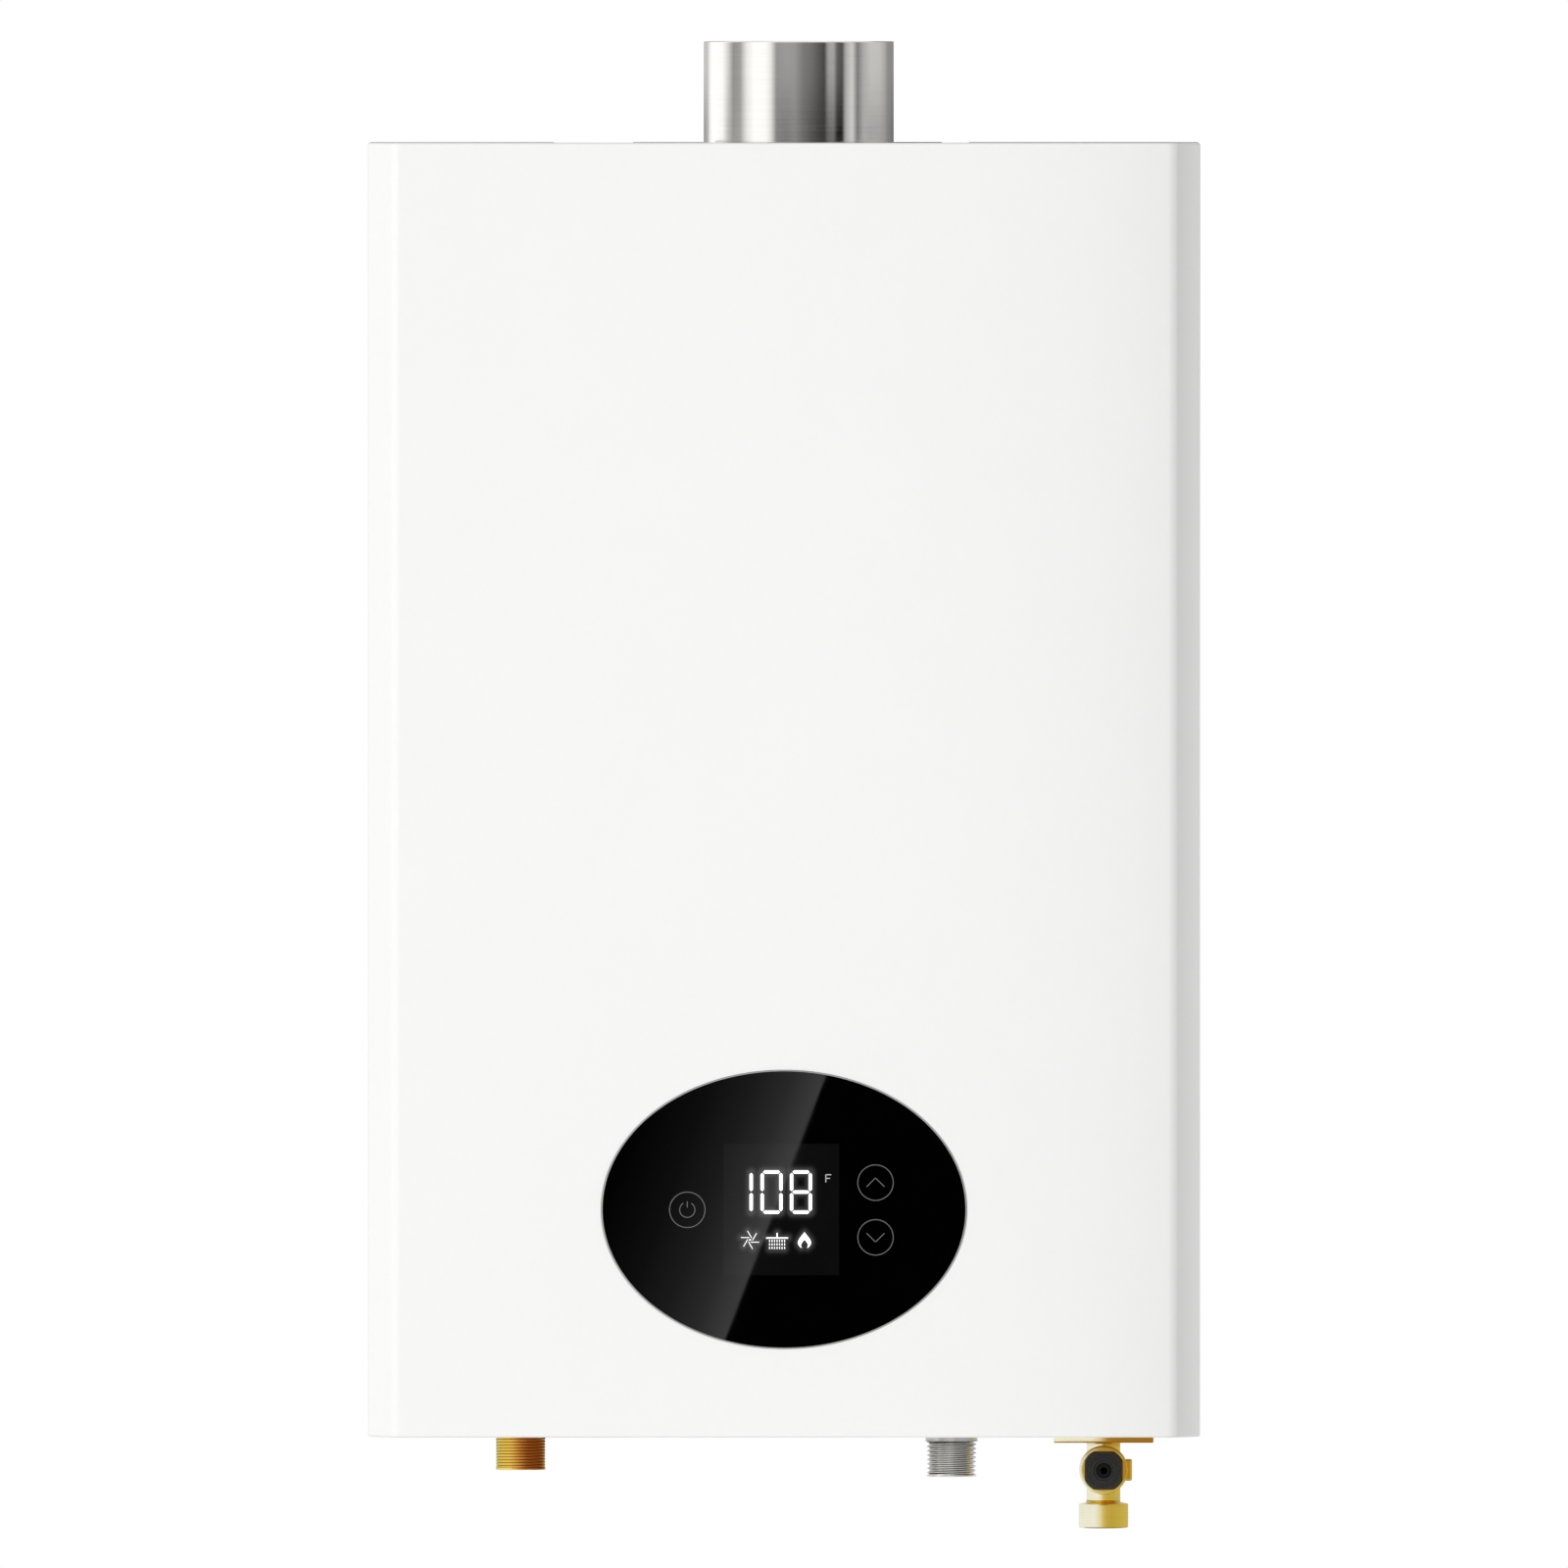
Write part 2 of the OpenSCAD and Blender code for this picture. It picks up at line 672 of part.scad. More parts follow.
module fan_wheel() {
    backplate_t = 1.2;
    ring_t = 2;
    outer = blade_line(1);
    inner = blade_line(-1);
    blade = concat(inner, [for (i = [6 : -1 : 0]) outer[i]]);
    color("slategray") translate([wheel_x, wheel_back, wheel_z]) rotate([90, 0, 0]) difference() {
        union() {
            for (i = [0 : blade_count - 1])
                rotate(360 * i / blade_count) linear_extrude(wheel_w) polygon(blade);
            tube(wheel_r, wheel_r - blade_l, ring_t);
            translate([0, 0, wheel_w - backplate_t]) cylinder(r = wheel_r, h = backplate_t);
            translate([0, 0, wheel_w - 16]) cylinder(r = shaft_r + 5, h = 16);
        }
        translate([0, 0, wheel_w - 20]) cylinder(r = shaft_r, h = 24);
    }
}

module fan_shaft() {
    y0 = motor_front + 6;
    y1 = wheel_back - wheel_w + 16;
    color("silver") along_y([wheel_x, y0, wheel_z], shaft_r, y1 - y0);
}

module at_motor_screws() {
    for (a = [90, 210, 330])
        translate([wheel_x + motor_screw_r * cos(a), scroll_front, wheel_z + motor_screw_r * sin(a)])
            rotate([-90, 0, 0]) children();
}

module fan_motor() {
    foot_t = 2;
    color("darkslategray") difference() {
        union() {
            along_y([wheel_x, motor_front, wheel_z], motor_r - 3, 4);
            along_y([wheel_x, motor_front + 3, wheel_z], motor_r, motor_l - 3);
            along_y([wheel_x, scroll_front - foot_t, wheel_z], motor_screw_r + head_r + 1.5, foot_t);
        }
        along_y([wheel_x, motor_front + 6 - cut, wheel_z], shaft_r + bearing_gap, motor_l);
        at_motor_screws() translate([0, 0, -4 * cut]) cylinder(r = screw_r + seat_gap, h = 8 * cut);
    }
}

module motor_screws() {
    color("silver") at_motor_screws() translate([0, 0, -2]) pan_screw(6);
}

// Hood in front view: straight up from z0 to z1, then tapering to z2
module hood_outline(hw, top_hw, z0, z1, z2) {
    polygon([[-hw, z0], [hw, z0], [hw, z1], [top_hw, z2], [-top_hw, z2], [-hw, z1]]);
}

// Exhaust hood: a tapered box on the exchanger and a plenum behind the scroll
module exhaust_hood() {
    hw = exchanger_w / 2;
    taper = 30;
    rim_h = 6;
    plenum_hw = eye_r + 8;
    plenum_top = wheel_z + eye_r + 8;
    plenum_back = shell_back + 4;
    color("lightgray") difference() {
        union() {
            upright(shell_front, shell_back)
                hood_outline(hw, hw - taper, shell_top, shell_top + rim_h, hood_top);
            block([wheel_x - plenum_hw, scroll_back, shell_top + rim_h],
                [wheel_x + plenum_hw, plenum_back, plenum_top]);
        }
        upright(shell_front + sheet_t, shell_back - sheet_t) hood_outline(hw - sheet_t, hw - taper - sheet_t,
            shell_top - cut, shell_top + rim_h, hood_top - sheet_t);
        block([wheel_x - plenum_hw + sheet_t, scroll_back + sheet_t, shell_top + rim_h + 2],
            [wheel_x + plenum_hw - sheet_t, plenum_back - sheet_t, plenum_top - sheet_t]);
        along_y([wheel_x, scroll_back - cut, wheel_z], eye_r, 2 * cut + sheet_t);
    }
}

// Draught switch on its bracket, with a hose to the scroll
switch_r = 28;
switch_d = 22;
switch_x = 108;
switch_y = -collar_y + 22;
switch_z = wheel_z + 14;
nipple_r = 2;
nipple_l = 12;

module pressure_switch() {
    color("ivory") difference() {
        union() {
            along_y([switch_x, switch_y - switch_d / 2, switch_z], switch_r, switch_d);
            along_y([switch_x, switch_y - 2, switch_z], switch_r + 2, 4);
            along_y([switch_x, switch_y - switch_d / 2 - 8, switch_z], 9, 8);
            along_x([switch_x - switch_r - nipple_l, switch_y, switch_z], nipple_r, nipple_l + 3);
        }
        along_x([switch_x - switch_r - nipple_l - cut, switch_y, switch_z], nipple_r - 0.8, nipple_l + cut);
    }
}

module switch_bracket() {
    arm_y = switch_y + switch_d / 2;
    color("gainsboro") {
        block([switch_x - 12, arm_y, switch_z - 12], [switch_x + 12, arm_y + 1.2, switch_z + 40]);
        block([switch_x - 12, arm_y, switch_z + 38.8], [switch_x + 12, back_y, switch_z + 40]);
        block([switch_x - 12, back_y - 1.2, switch_z + 38.8], [switch_x + 12, back_y, switch_z + 56]);
    }
}

module pressure_tube() {
    x0 = collar_x + duct_w / 2 + 1;
    color("lightyellow") difference() {
        along_x([x0, switch_y, switch_z], nipple_r + 1.7, switch_x - switch_r - 3 - x0);
        along_x([x0 - cut, switch_y, switch_z], nipple_r + 0.1, switch_x - switch_r + 2 * cut - x0);
    }
}

// Exchanger

function tube_y(i) = shell_mid + (i - (tube_count - 1) / 2) * tube_pitch;

module exchanger_shell() {
    hw = exchanger_w / 2;
    color("peru") difference() {
        block([-hw, shell_front, shell_bot], [hw, shell_back, shell_top]);
        block([shell_t - hw, shell_front + shell_t, shell_bot - cut],
            [hw - shell_t, shell_back - shell_t, shell_top + cut]);
        for (i = [0 : tube_count - 1])
            along_x([-hw - cut, tube_y(i), tube_z], tube_r + 0.1, exchanger_w + 2 * cut);
    }
}

module exchanger_fins() {
    reach = exchanger_w - 2 * shell_t - 8;
    pitch = reach / (fin_count - 1);
    color("sandybrown") difference() {
        for (i = [0 : fin_count - 1]) let (x = -reach / 2 + pitch * i)
            block([x - fin_t / 2, shell_front + shell_t + seat_gap, tube_z - fin_h / 2],
                [x + fin_t / 2, shell_back - shell_t - seat_gap, tube_z + fin_h / 2]);
        for (i = [0 : tube_count - 1])
            along_x([-reach, tube_y(i), tube_z], tube_r + 0.1, 2 * reach);
    }
}

// Water tubes through the fins, joined by return bends outside the shell
module exchanger_coil() {
    color("chocolate") difference() {
        coil_run(tube_r);
        coil_run(tube_r - pipe_t);
    }
}

module coil_run(r) {
    over = r < tube_r ? cut : 0;
    first = tube_count - 1;
    for (i = [0 : first])
        along_x([-tube_end - (i == 0 ? over : 0), tube_y(i), tube_z], r,
            2 * tube_end + (i == 0 ? over : 0) + (i == first ? over : 0));
    for (i = [0 : first - 1]) let (side = i % 2 == 0 ? 1 : -1)
        translate([side * tube_end, (tube_y(i) + tube_y(i + 1)) / 2, tube_z]) rotate(side > 0 ? -90 : 90)
            rotate_extrude(angle = 180) translate([tube_pitch / 2, 0]) circle(r = r);
}

module exchanger_brackets() {
    bracket_w = 24;
    t = 1.2;
    color("gainsboro") for (x = [-72, 72], z = [shell_bot + 30, shell_top - 40]) translate([x, 0, z]) {
        block([-bracket_w / 2, back_y - t, 0], [bracket_w / 2, back_y, 20]);
        block([-bracket_w / 2, shell_back, 0], [bracket_w / 2, back_y, t]);
        block([-bracket_w / 2, shell_back, -18], [bracket_w / 2, shell_back + t, t]);
    }
}

// Burner

module burner_box() {
    hw = exchanger_w / 2;
    color("lightsteelblue") difference() {
        block([-hw, shell_front, burner_bot], [hw, shell_back, shell_bot]);
        block([shell_t - hw, shell_front + shell_t, burner_bot + shell_t],
            [hw - shell_t, shell_back - shell_t, shell_bot + cut]);
        for (i = [0 : bar_count - 1])
            along_y([bar_x(i), shell_front - cut, manifold_z], venturi_r + 1, 2 * cut + shell_t);
        for (x = [-70 : 20 : 70], y = [0 : 2])
            along_z([x, shell_mid - 22 + 22 * y, burner_bot - cut], 3.5, 2 * cut + shell_t);
        for (x = electrode_x)
            along_y([x, shell_front - cut, electrode_z], electrode_r + seat_gap, 2 * cut + shell_t);
    }
}

function bar_x(i) = (i - (bar_count - 1) / 2) * bar_pitch;

// Burner bars: a flat body with a mixing tube at the front and flame ports along the top
module burner_bars() {
    top = shell_bot - 14;
    bottom = burner_bot + shell_t;
    throat_l = 52;
    port_pitch = 6;
    ports = floor((bar_back - bar_front - 10) / port_pitch);
    color("silver") for (i = [0 : bar_count - 1]) translate([bar_x(i), 0, 0]) difference() {
        block([-bar_w / 2, bar_front, bottom], [bar_w / 2, bar_back, top]);
        along_y([0, bar_front - cut, manifold_z], venturi_r, throat_l + cut);
        block([1 - bar_w / 2, bar_front + throat_l - 8, bottom + 2], [bar_w / 2 - 1, bar_back - 2, top - 4]);
        block([1 - bar_w / 2, bar_front + 6, manifold_z + venturi_r + 1],
            [bar_w / 2 - 1, bar_back - 2, top - 4]);
        for (k = [0 : ports - 1]) let (y = bar_front + 8 + port_pitch * k)
            block([-bar_w / 2 + 2, y, top - 5], [bar_w / 2 - 2, y + 2, top + cut]);
    }
}

module gas_manifold() {
    hw = exchanger_w / 2 - 6;
    color("silver") difference() {
        block([-hw, manifold_y - manifold_d / 2, manifold_z - manifold_h / 2],
            [hw, manifold_back, manifold_z + manifold_h / 2]);
        along_x([-hw + 3, manifold_y, manifold_z], 4, 2 * hw - 6);
        along_z([gas_x, manifold_y, manifold_z - manifold_h], 3.5, manifold_h);
        for (i = [0 : bar_count - 1]) along_y([bar_x(i), manifold_y, manifold_z], 2.2, manifold_d);
    }
}

// Injectors: a threaded end in the manifold and a hexagon outside it
module gas_nozzles() {
    color("goldenrod") for (i = [0 : bar_count - 1])
        translate([bar_x(i), manifold_back, manifold_z]) rotate([-90, 0, 0]) difference() {
            union() {
                translate([0, 0, -1.5]) cylinder(r = 2.2, h = 1.5);
                cylinder(r = 3.4, h = nozzle_stand - 0.1, $fn = 6);
                translate([0, 0, nozzle_stand - 0.1]) cylinder(r1 = 2.4, r2 = 1.6, h = 2);
            }
            translate([0, 0, -2]) cylinder(r = 0.6, h = 6);
        }
}

// Spark electrode and flame probe: ceramic sleeves through the burner box, wires over the bars
electrode_x = [bar_x(floor(bar_count / 2)) - bar_pitch / 2, bar_x(floor(bar_count / 2)) + bar_pitch / 2];
electrode_z = shell_bot - 7;
electrode_r = 3;

module electrode(x, reach) {
    along_y([x, shell_front - 12, electrode_z], electrode_r, 22);
    along_y([x, shell_front - 1.2, electrode_z], electrode_r + 2, 1.2);
    along_y([x, shell_front + 10, electrode_z], 1, reach);
    along_y([x, shell_front - 18, electrode_z], 1.2, 6);
}

module spark_electrode() {
    color("white") electrode(electrode_x[0], 8);
}

module flame_probe() {
    color("white") electrode(electrode_x[1], 30);
}

// Electrical boxes on the back panel

module rounded_box(lo, hi, r) {
    d = hi - lo;
    translate(lo) {
        for (x = [r, d[0] - r], z = [r, d[2] - r]) along_y([x, 0, z], r, d[1]);
        translate([r, 0, 0]) cube([d[0] - 2 * r, d[1], d[2]]);
        translate([0, 0, r]) cube([d[0], d[1], d[2] - 2 * r]);
    }
}

module igniter_module() {
    hi_x = hot_x - pipe_r - 12;
    lo_x = 6 - side_x;
    color("black") {
        rounded_box([lo_x, back_y - 30, -130], [hi_x, back_y, -80], 3);
        along_z([(lo_x + hi_x) / 2, back_y - 15, -80], 4, 8);
    }
}

module transformer() {
    hi_x = hot_x - pipe_r - 8;
    coil_inset = 8;
    color("dimgray") {
        rounded_box([-side_x, back_y - 38, 0], [hi_x, back_y, 34], 1);
        for (z = [-12, 34])
            rounded_box([coil_inset - side_x, back_y - 34, z], [hi_x - coil_inset, back_y - 4, z + 12], 4);
    }
}

control_lo = [104, back_y - 38, -120];
control_hi = [side_x - 6.5, back_y, 15];
control_wall = 2;

module control_box() {
    color("lightgray") difference() {
        rounded_box(control_lo, control_hi, 4);
        rounded_box([control_lo[0] + control_wall, control_lo[1] - cut, control_lo[2] + control_wall],
            [control_hi[0] - control_wall, control_hi[1] - control_wall, control_hi[2] - control_wall], 2);
    }
    color("lightgray") for (sx = [0, 1], sz = [0, 1])
        along_y([(sx == 0 ? control_lo[0] + 8 : control_hi[0] - 8), control_hi[1] - control_wall - 8,
            (sz == 0 ? control_lo[2] + 8 : control_hi[2] - 8)], 3, 8 + 0.5);
}

module control_lid() {
    color("gray") rounded_box([control_lo[0], control_lo[1] - 2.5, control_lo[2]],
        [control_hi[0], control_lo[1], control_hi[2]], 4);
}

module control_board() {
    y = control_hi[1] - control_wall - 8;
    lo = [control_lo[0] + control_wall + 1, y - board_t, control_lo[2] + control_wall + 1];
    hi = [control_hi[0] - control_wall - 1, y, control_hi[2] - control_wall - 1];
    w = hi[0] - lo[0];
    color("seagreen") {
        block(lo, hi);
        block([lo[0] + 0.2 * w, y - board_t - 14, lo[2] + 15], [lo[0] + 0.55 * w, y - board_t, lo[2] + 40]);
        block([lo[0] + 0.65 * w, y - board_t - 10, lo[2] + 50], [lo[0] + 0.9 * w, y - board_t, lo[2] + 80]);
        along_y([lo[0] + 0.35 * w, y - board_t - 18, lo[2] + 70], 8, 18);
    }
}

// Gas train

module gas_inlet_fitting() {
    plate = 20;
    ring_bot = z_bot - 3.3;
    color("darkgray") translate([gas_x, pipe_y, 0]) difference() {
        union() {
            along_z([0, 0, z_bot - gas_drop], thread_r, ring_bot - z_bot + gas_drop);
            along_z([0, 0, ring_bot], gas_ring_d / 2, valve_bot - ring_bot);
            block([-plate, -plate, valve_bot - 5], [plate, plate, valve_bot]);
        }
        along_z([0, 0, z_bot - gas_drop - cut], gas_bore_r, valve_bot - z_bot + gas_drop + 2 * cut);
    }
}

module gas_valve_body() {
    color("lightgray") difference() {
        union() {
            rounded_box([gas_x - valve_hw, valve_front, valve_bot],
                [gas_x + valve_hw, valve_back, valve_top], 5);
            along_y([gas_x, valve_front - 4, valve_bot + 22], 12, 5);
        }
        along_z([gas_x, pipe_y, valve_bot - cut], gas_bore_r, 12 + cut);
        along_z([shutoff_x, coil_y, plunger_seat_z], plunger_r + 3, valve_top - plunger_seat_z + cut);
        along_z([shutoff_x, coil_y, valve_bot + 8], 4, plunger_seat_z - valve_bot);
        along_z([gas_x, manifold_y, valve_top - 14], 3.5, 15);
    }
}

module gas_pipe() {
    color("silver") translate([gas_x, manifold_y, valve_top])
        tube(5, 3.5, manifold_z - manifold_h / 2 - valve_top);
}

module solenoid(x) {
    along_z([x, coil_y, valve_top], coil_r, 2);
    along_z([x, coil_y, valve_top + 2], coil_r - 1.5, coil_h - 4);
    along_z([x, coil_y, valve_top + coil_h - 2], coil_r, 2);
    block([x - coil_r, coil_y + coil_r - 3, valve_top], [x + coil_r, coil_y + coil_r, valve_top + coil_h]);
}

module shutoff_coil() {
    color("firebrick") difference() {
        solenoid(shutoff_x);
        along_z([shutoff_x, coil_y, valve_top - cut], plunger_r + move_gap,
            plunger_top + plunger_travel + 2 - valve_top + cut);
    }
}

module modulating_coil() {
    color("firebrick") solenoid(modulating_x);
}

module gas_plunger() {
    color("silver") {
        along_z([shutoff_x, coil_y, plunger_seat_z + move_gap], plunger_r + 2, 3);
        along_z([shutoff_x, coil_y, plunger_seat_z + 3], plunger_r, plunger_top - plunger_seat_z - 3);
    }
}

// Water side

module hot_outlet_fitting() {
    color("darkgoldenrod") translate([hot_x, pipe_y, 0]) difference() {
        union() {
            along_z([0, 0, z_bot - hot_drop], thread_r, chassis_bot - cut - z_bot + hot_drop);
            along_z([0, 0, chassis_bot - cut], thread_r - 0.8, sheet_t + 2 * cut);
            block([-flange_w / 2, -flange_d / 2, floor_z], [flange_w / 2, flange_d / 2, floor_z + 4]);
            along_z([0, 0, floor_z], pipe_r + 3, hot_fitting_top - floor_z);
        }
        along_z([0, 0, z_bot - hot_drop - cut], pipe_r - pipe_t, hot_fitting_top - z_bot + hot_drop + cut);
        along_z([0, 0, hot_fitting_top - pipe_socket], pipe_r + seat_gap, pipe_socket + cut);
        for (s = [-1, 1]) along_z([s * fitting_screw_x, 0, floor_z - cut], screw_r + seat_gap, 8);
        along_y([0, -pipe_r - 4, probe_z], 2.5 + bearing_gap, 6);
    }
}

// Flange screws, driven from inside the cabinet
module fitting_screws() {
    color("silver") for (s = [-1, 1]) {
        translate([hot_x + s * fitting_screw_x, pipe_y, floor_z + 4]) mirror([0, 0, 1]) pan_screw(6);
        translate([cold_x + s * fitting_screw_x, pipe_y, floor_z]) mirror([0, 0, 1]) pan_screw(4.5);
    }
}

probe_z = floor_z + 8;

module temperature_probe() {
    y = pipe_y - pipe_r - 3;
    color("gold") {
        along_y([hot_x, y - 4, probe_z], 4, 4);
        along_y([hot_x, y, probe_z], 2.5, 4.5);
        along_y([hot_x, y - 10, probe_z], 2, 6);
    }
}

hot_pipe_y = tube_y(0);

module hot_pipe() {
    route = [
        [-tube_end, hot_pipe_y, tube_z],
        [hot_x, hot_pipe_y, tube_z],
        [hot_x, hot_pipe_y, hot_bend_z],
        [hot_x, pipe_y, hot_bend_z],
        [hot_x, pipe_y, hot_fitting_top - pipe_socket]];
    color("chocolate") pipe_run(route, pipe_r, pipe_t, pipe_bend);
}

module overheat_thermostat() {
    color("white") translate([hot_x, hot_pipe_y, tube_z - 60]) difference() {
        union() {
            block([-pipe_r - 9, -7, -7], [0, 7, 7]);
            along_x([-pipe_r - 16, 0, 0], 6, 8);
        }
        along_z([0, 0, -10], pipe_r + 0.1, 20);
    }
}

module cold_pipe() {
    y = tube_y(tube_count - 1);
    route = [
        [cold_x, pipe_y, sensor_top - pipe_socket],
        [cold_x, pipe_y, tube_z],
        [cold_x, y, tube_z],
        [tube_end, y, tube_z]];
    color("chocolate") pipe_run(route, pipe_r, pipe_t, pipe_bend);
}

module flow_sensor_body() {
    arm_h = 3;
    rotor_top = rotor_z + rotor_h;
    color("dimgray") translate([cold_x, pipe_y, 0]) {
        difference() {
            union() {
                along_z([0, 0, floor_z], 12.5, 14);
                along_z([0, 0, floor_z + 12], sensor_r, sensor_h - 12);
                block([-9, -sensor_r - 6, rotor_z - 4], [9, -sensor_r + 4, rotor_top + 4]);
            }
            along_z([0, 0, floor_z - cut], spigot_r + seat_gap, spigot_top + seat_gap - floor_z + cut);
            along_z([0, 0, floor_z], water_bore_r, sensor_h);
            along_z([0, 0, rotor_z - arm_h - 2], chamber_r, rotor_h + 2 * arm_h + 4);
            along_z([0, 0, sensor_top - pipe_socket], pipe_r + seat_gap, pipe_socket + cut);
        }
        for (z = [rotor_z - arm_h - 1, rotor_top + 1]) difference() {
            block([-chamber_r - 1, -2.6, z], [chamber_r + 1, 2.6, z + arm_h]);
            along_z([0, 0, z - cut], spindle_r, arm_h + 2 * cut);
        }
    }
}

module flow_spindle() {
    color("silver") along_z([cold_x, pipe_y, rotor_z - 4], spindle_r, rotor_h + 8);
}

module flow_rotor() {
    vane_count = 6;
    color("ivory") translate([cold_x, pipe_y, rotor_z + move_gap]) difference() {
        union() {
            cylinder(r = 4, h = rotor_h - 2 * move_gap);
            for (i = [0 : vane_count - 1]) rotate(360 * i / vane_count)
                translate([3, -0.6, 1]) rotate([12, 0, 0]) cube([rotor_r - 3.4, 1.2, rotor_h - 4]);
        }
        translate([0, 0, -cut]) cylinder(r = spindle_r + bearing_gap, h = rotor_h + 2 * cut);
    }
}

// Cold inlet: flange plate, neck, drain boss with side lug, and the threaded end
module cold_inlet_body() {
    lug_d = 8;
    bevel = 0.8;
    plate_bot = z_bot - flange_drop;
    end_z = z_bot - cold_drop;
    color("goldenrod") translate([cold_x, pipe_y, 0]) difference() {
        union() {
            block([-flange_w / 2, -flange_d / 2, plate_bot], [flange_w / 2, flange_d / 2, chassis_bot]);
            along_z([0, 0, end_z], neck_d / 2, plate_bot - end_z);
            along_z([0, 0, plate_bot], spigot_r, spigot_top - plate_bot);
            along_z([0, 0, end_z + bevel], thread_r, cold_thread_l - 2 * bevel);
            translate([0, 0, end_z]) cylinder(r1 = thread_r - bevel, r2 = thread_r, h = bevel);
            translate([0, 0, end_z + cold_thread_l - bevel])
                cylinder(r1 = thread_r, r2 = thread_r - bevel, h = bevel);
            along_y([0, -boss_l, drain_z], boss_d / 2, boss_l);
            block([0, 2 - boss_l, drain_z - lug_h / 2],
                [lug_reach, 2 - boss_l + lug_d, drain_z + lug_h / 2]);
        }
        along_z([0, 0, end_z - cut], water_bore_r, spigot_top - end_z + 2 * cut);
        along_z([0, 0, end_z - cut], water_bore_r + 2.5, cold_thread_l);
        along_y([0, -boss_l - cut, drain_z], boss_bore_r, boss_bore_l + cut);
        along_y([0, -boss_l, drain_z], 2, boss_l);
        for (s = [-1, 1]) along_z([s * fitting_screw_x, 0, chassis_bot - 4], screw_r + seat_gap, 6);
    }
}

// Strainer: a slotted cup in the cold inlet's mouth
module inlet_strainer() {
    end_z = z_bot - cold_drop;
    rim_r = water_bore_r + 2.5 - seat_gap;
    cup_l = cold_thread_l - cut - 3;
    color("lightgray") translate([cold_x, pipe_y, end_z]) {
        translate([0, 0, cup_l + 1.5]) tube(rim_r, water_bore_r - 1, 1.5);
        translate([0, 0, 1.5]) difference() {
            cylinder(r = water_bore_r, h = cup_l);
            translate([0, 0, 0.8]) cylinder(r = water_bore_r - 0.8, h = cup_l);
            for (a = [0 : 30 : 150]) rotate(a) block([-10, -0.5, 1.5], [10, 0.5, cup_l - 1]);
        }
    }
}

// Drain knob: round with four flats, and a threaded skirt in the boss
module drain_knob() {
    color([0.16, 0.16, 0.17]) translate([cold_x, 0, drain_z]) difference() {
        union() {
            intersection() {
                along_y([0, knob_front, 0], knob_r, knob_l);
                block([-knob_flat, knob_front - cut, -knob_flat], [knob_flat, knob_back + cut, knob_flat]);
            }
            along_y([0, knob_back, 0], skirt_r, skirt_l);
        }
        along_y([0, knob_front - cut, 0], nozzle_r + move_gap, knob_l + skirt_l + 2 * cut);
        along_y([0, knob_front - cut, 0], nozzle_r + 1.6, 1 + cut);
    }
}

// Hollow drain nozzle with the valve head at its inner end; it moves out with the knob
module drain_poppet() {
    head_y = knob_back + skirt_l + move_gap;
    color([0.1, 0.1, 0.1]) translate([cold_x, 0, drain_z]) difference() {
        union() {
            along_y([0, knob_front + 0.6, 0], nozzle_r, head_y - knob_front - 0.6);
            along_y([0, head_y, 0], skirt_r - 1.5, poppet_seat - seal_t - move_gap - head_y);
        }
        along_y([0, knob_front - cut, 0], nozzle_bore_r, knob_l + skirt_l);
        along_x([-10, knob_back + skirt_l - 2, 0], 0.8, 20);
    }
}

seal_t = 1.2;

module drain_seal() {
    color("black") along_y([cold_x, poppet_seat - seal_t - move_gap, drain_z], skirt_r - 2, seal_t);
}

// Display, bonded into the cover

module display_glass() {
    color("black") translate([0, 0, display_z]) rotate([90, 0, 0]) loft([
        [for (p = oval(glass_w, glass_h)) [p[0], p[1], -glass_back]],
        [for (p = oval(glass_w, glass_h)) [p[0], p[1], -glass_front - glass_bevel]],
        [for (p = oval(glass_w - 2 * glass_bevel, glass_h - 2 * glass_bevel)) [p[0], p[1], -glass_front]]]);
}

key_places = [[-left_key_x, 0], [right_key_x, key_pitch / 2], [right_key_x, -key_pitch / 2]];
key_r = 4;

module at_posts() {
    for (sx = [-1, 1], sz = [-1, 1])
        translate([sx * post_dx / 2, 0, display_z + sz * post_dz / 2]) children();
}

module panel_carrier() {
    color("lightgray") difference() {
        union() {
            translate([0, 0, display_z]) upright(carrier_front, carrier_back)
                polygon(oval(glass_w + 2 * carrier_rim, glass_h + 2 * carrier_rim));
            at_posts() along_y([0, carrier_back - cut, 0], 3, post_l + cut);
        }
        translate([0, 0, display_z]) upright(carrier_front - cut, glass_back)
            polygon(oval(glass_w + 2 * seat_gap, glass_h + 2 * seat_gap));
        block([window_x - window_w / 2, glass_back - cut, display_z - window_h / 2],
            [window_x + window_w / 2, carrier_back + cut, display_z + window_h / 2]);
        for (k = key_places)
            along_y([k[0], glass_back - cut, display_z + k[1]], key_r + 1, carrier_t + 2 * cut);
        at_posts() along_y([0, carrier_back + 1, 0], 1, post_l);
    }
}

module display_board() {
    back = board_front + board_t;
    low = display_z - board_h / 2;
    color("seagreen") difference() {
        block([-board_w / 2, board_front, low], [board_w / 2, back, low + board_h]);
        at_posts() along_y([0, board_front - cut, 0], 1.2, board_t + 2 * cut);
    }
    color("ivory") block([-14, back, low + 4], [14, back + 2, low + 12]);
}

module display_module() {
    hw = window_w / 2 - 2 * seat_gap;
    hh = window_h / 2 - 2 * seat_gap;
    color("darkslategray") block([window_x - hw, glass_back + seat_gap, display_z - hh],
        [window_x + hw, board_front, display_z + hh]);
}

// Touch keys: sprung contacts between the board and the glass
module touch_springs() {
    color("gold") for (k = key_places) translate([k[0], board_front, display_z + k[1]]) rotate([90, 0, 0])
        tube(key_r, key_r - 0.6, board_front - glass_back);
}

module panel_screws() {
    color("silver") at_posts() translate([0, board_front + board_t, 0]) rotate([90, 0, 0]) {
        translate([0, 0, -1.2]) cylinder(r = 2, h = 1.2);
        cylinder(r = 1, h = board_t + 3);
    }
}

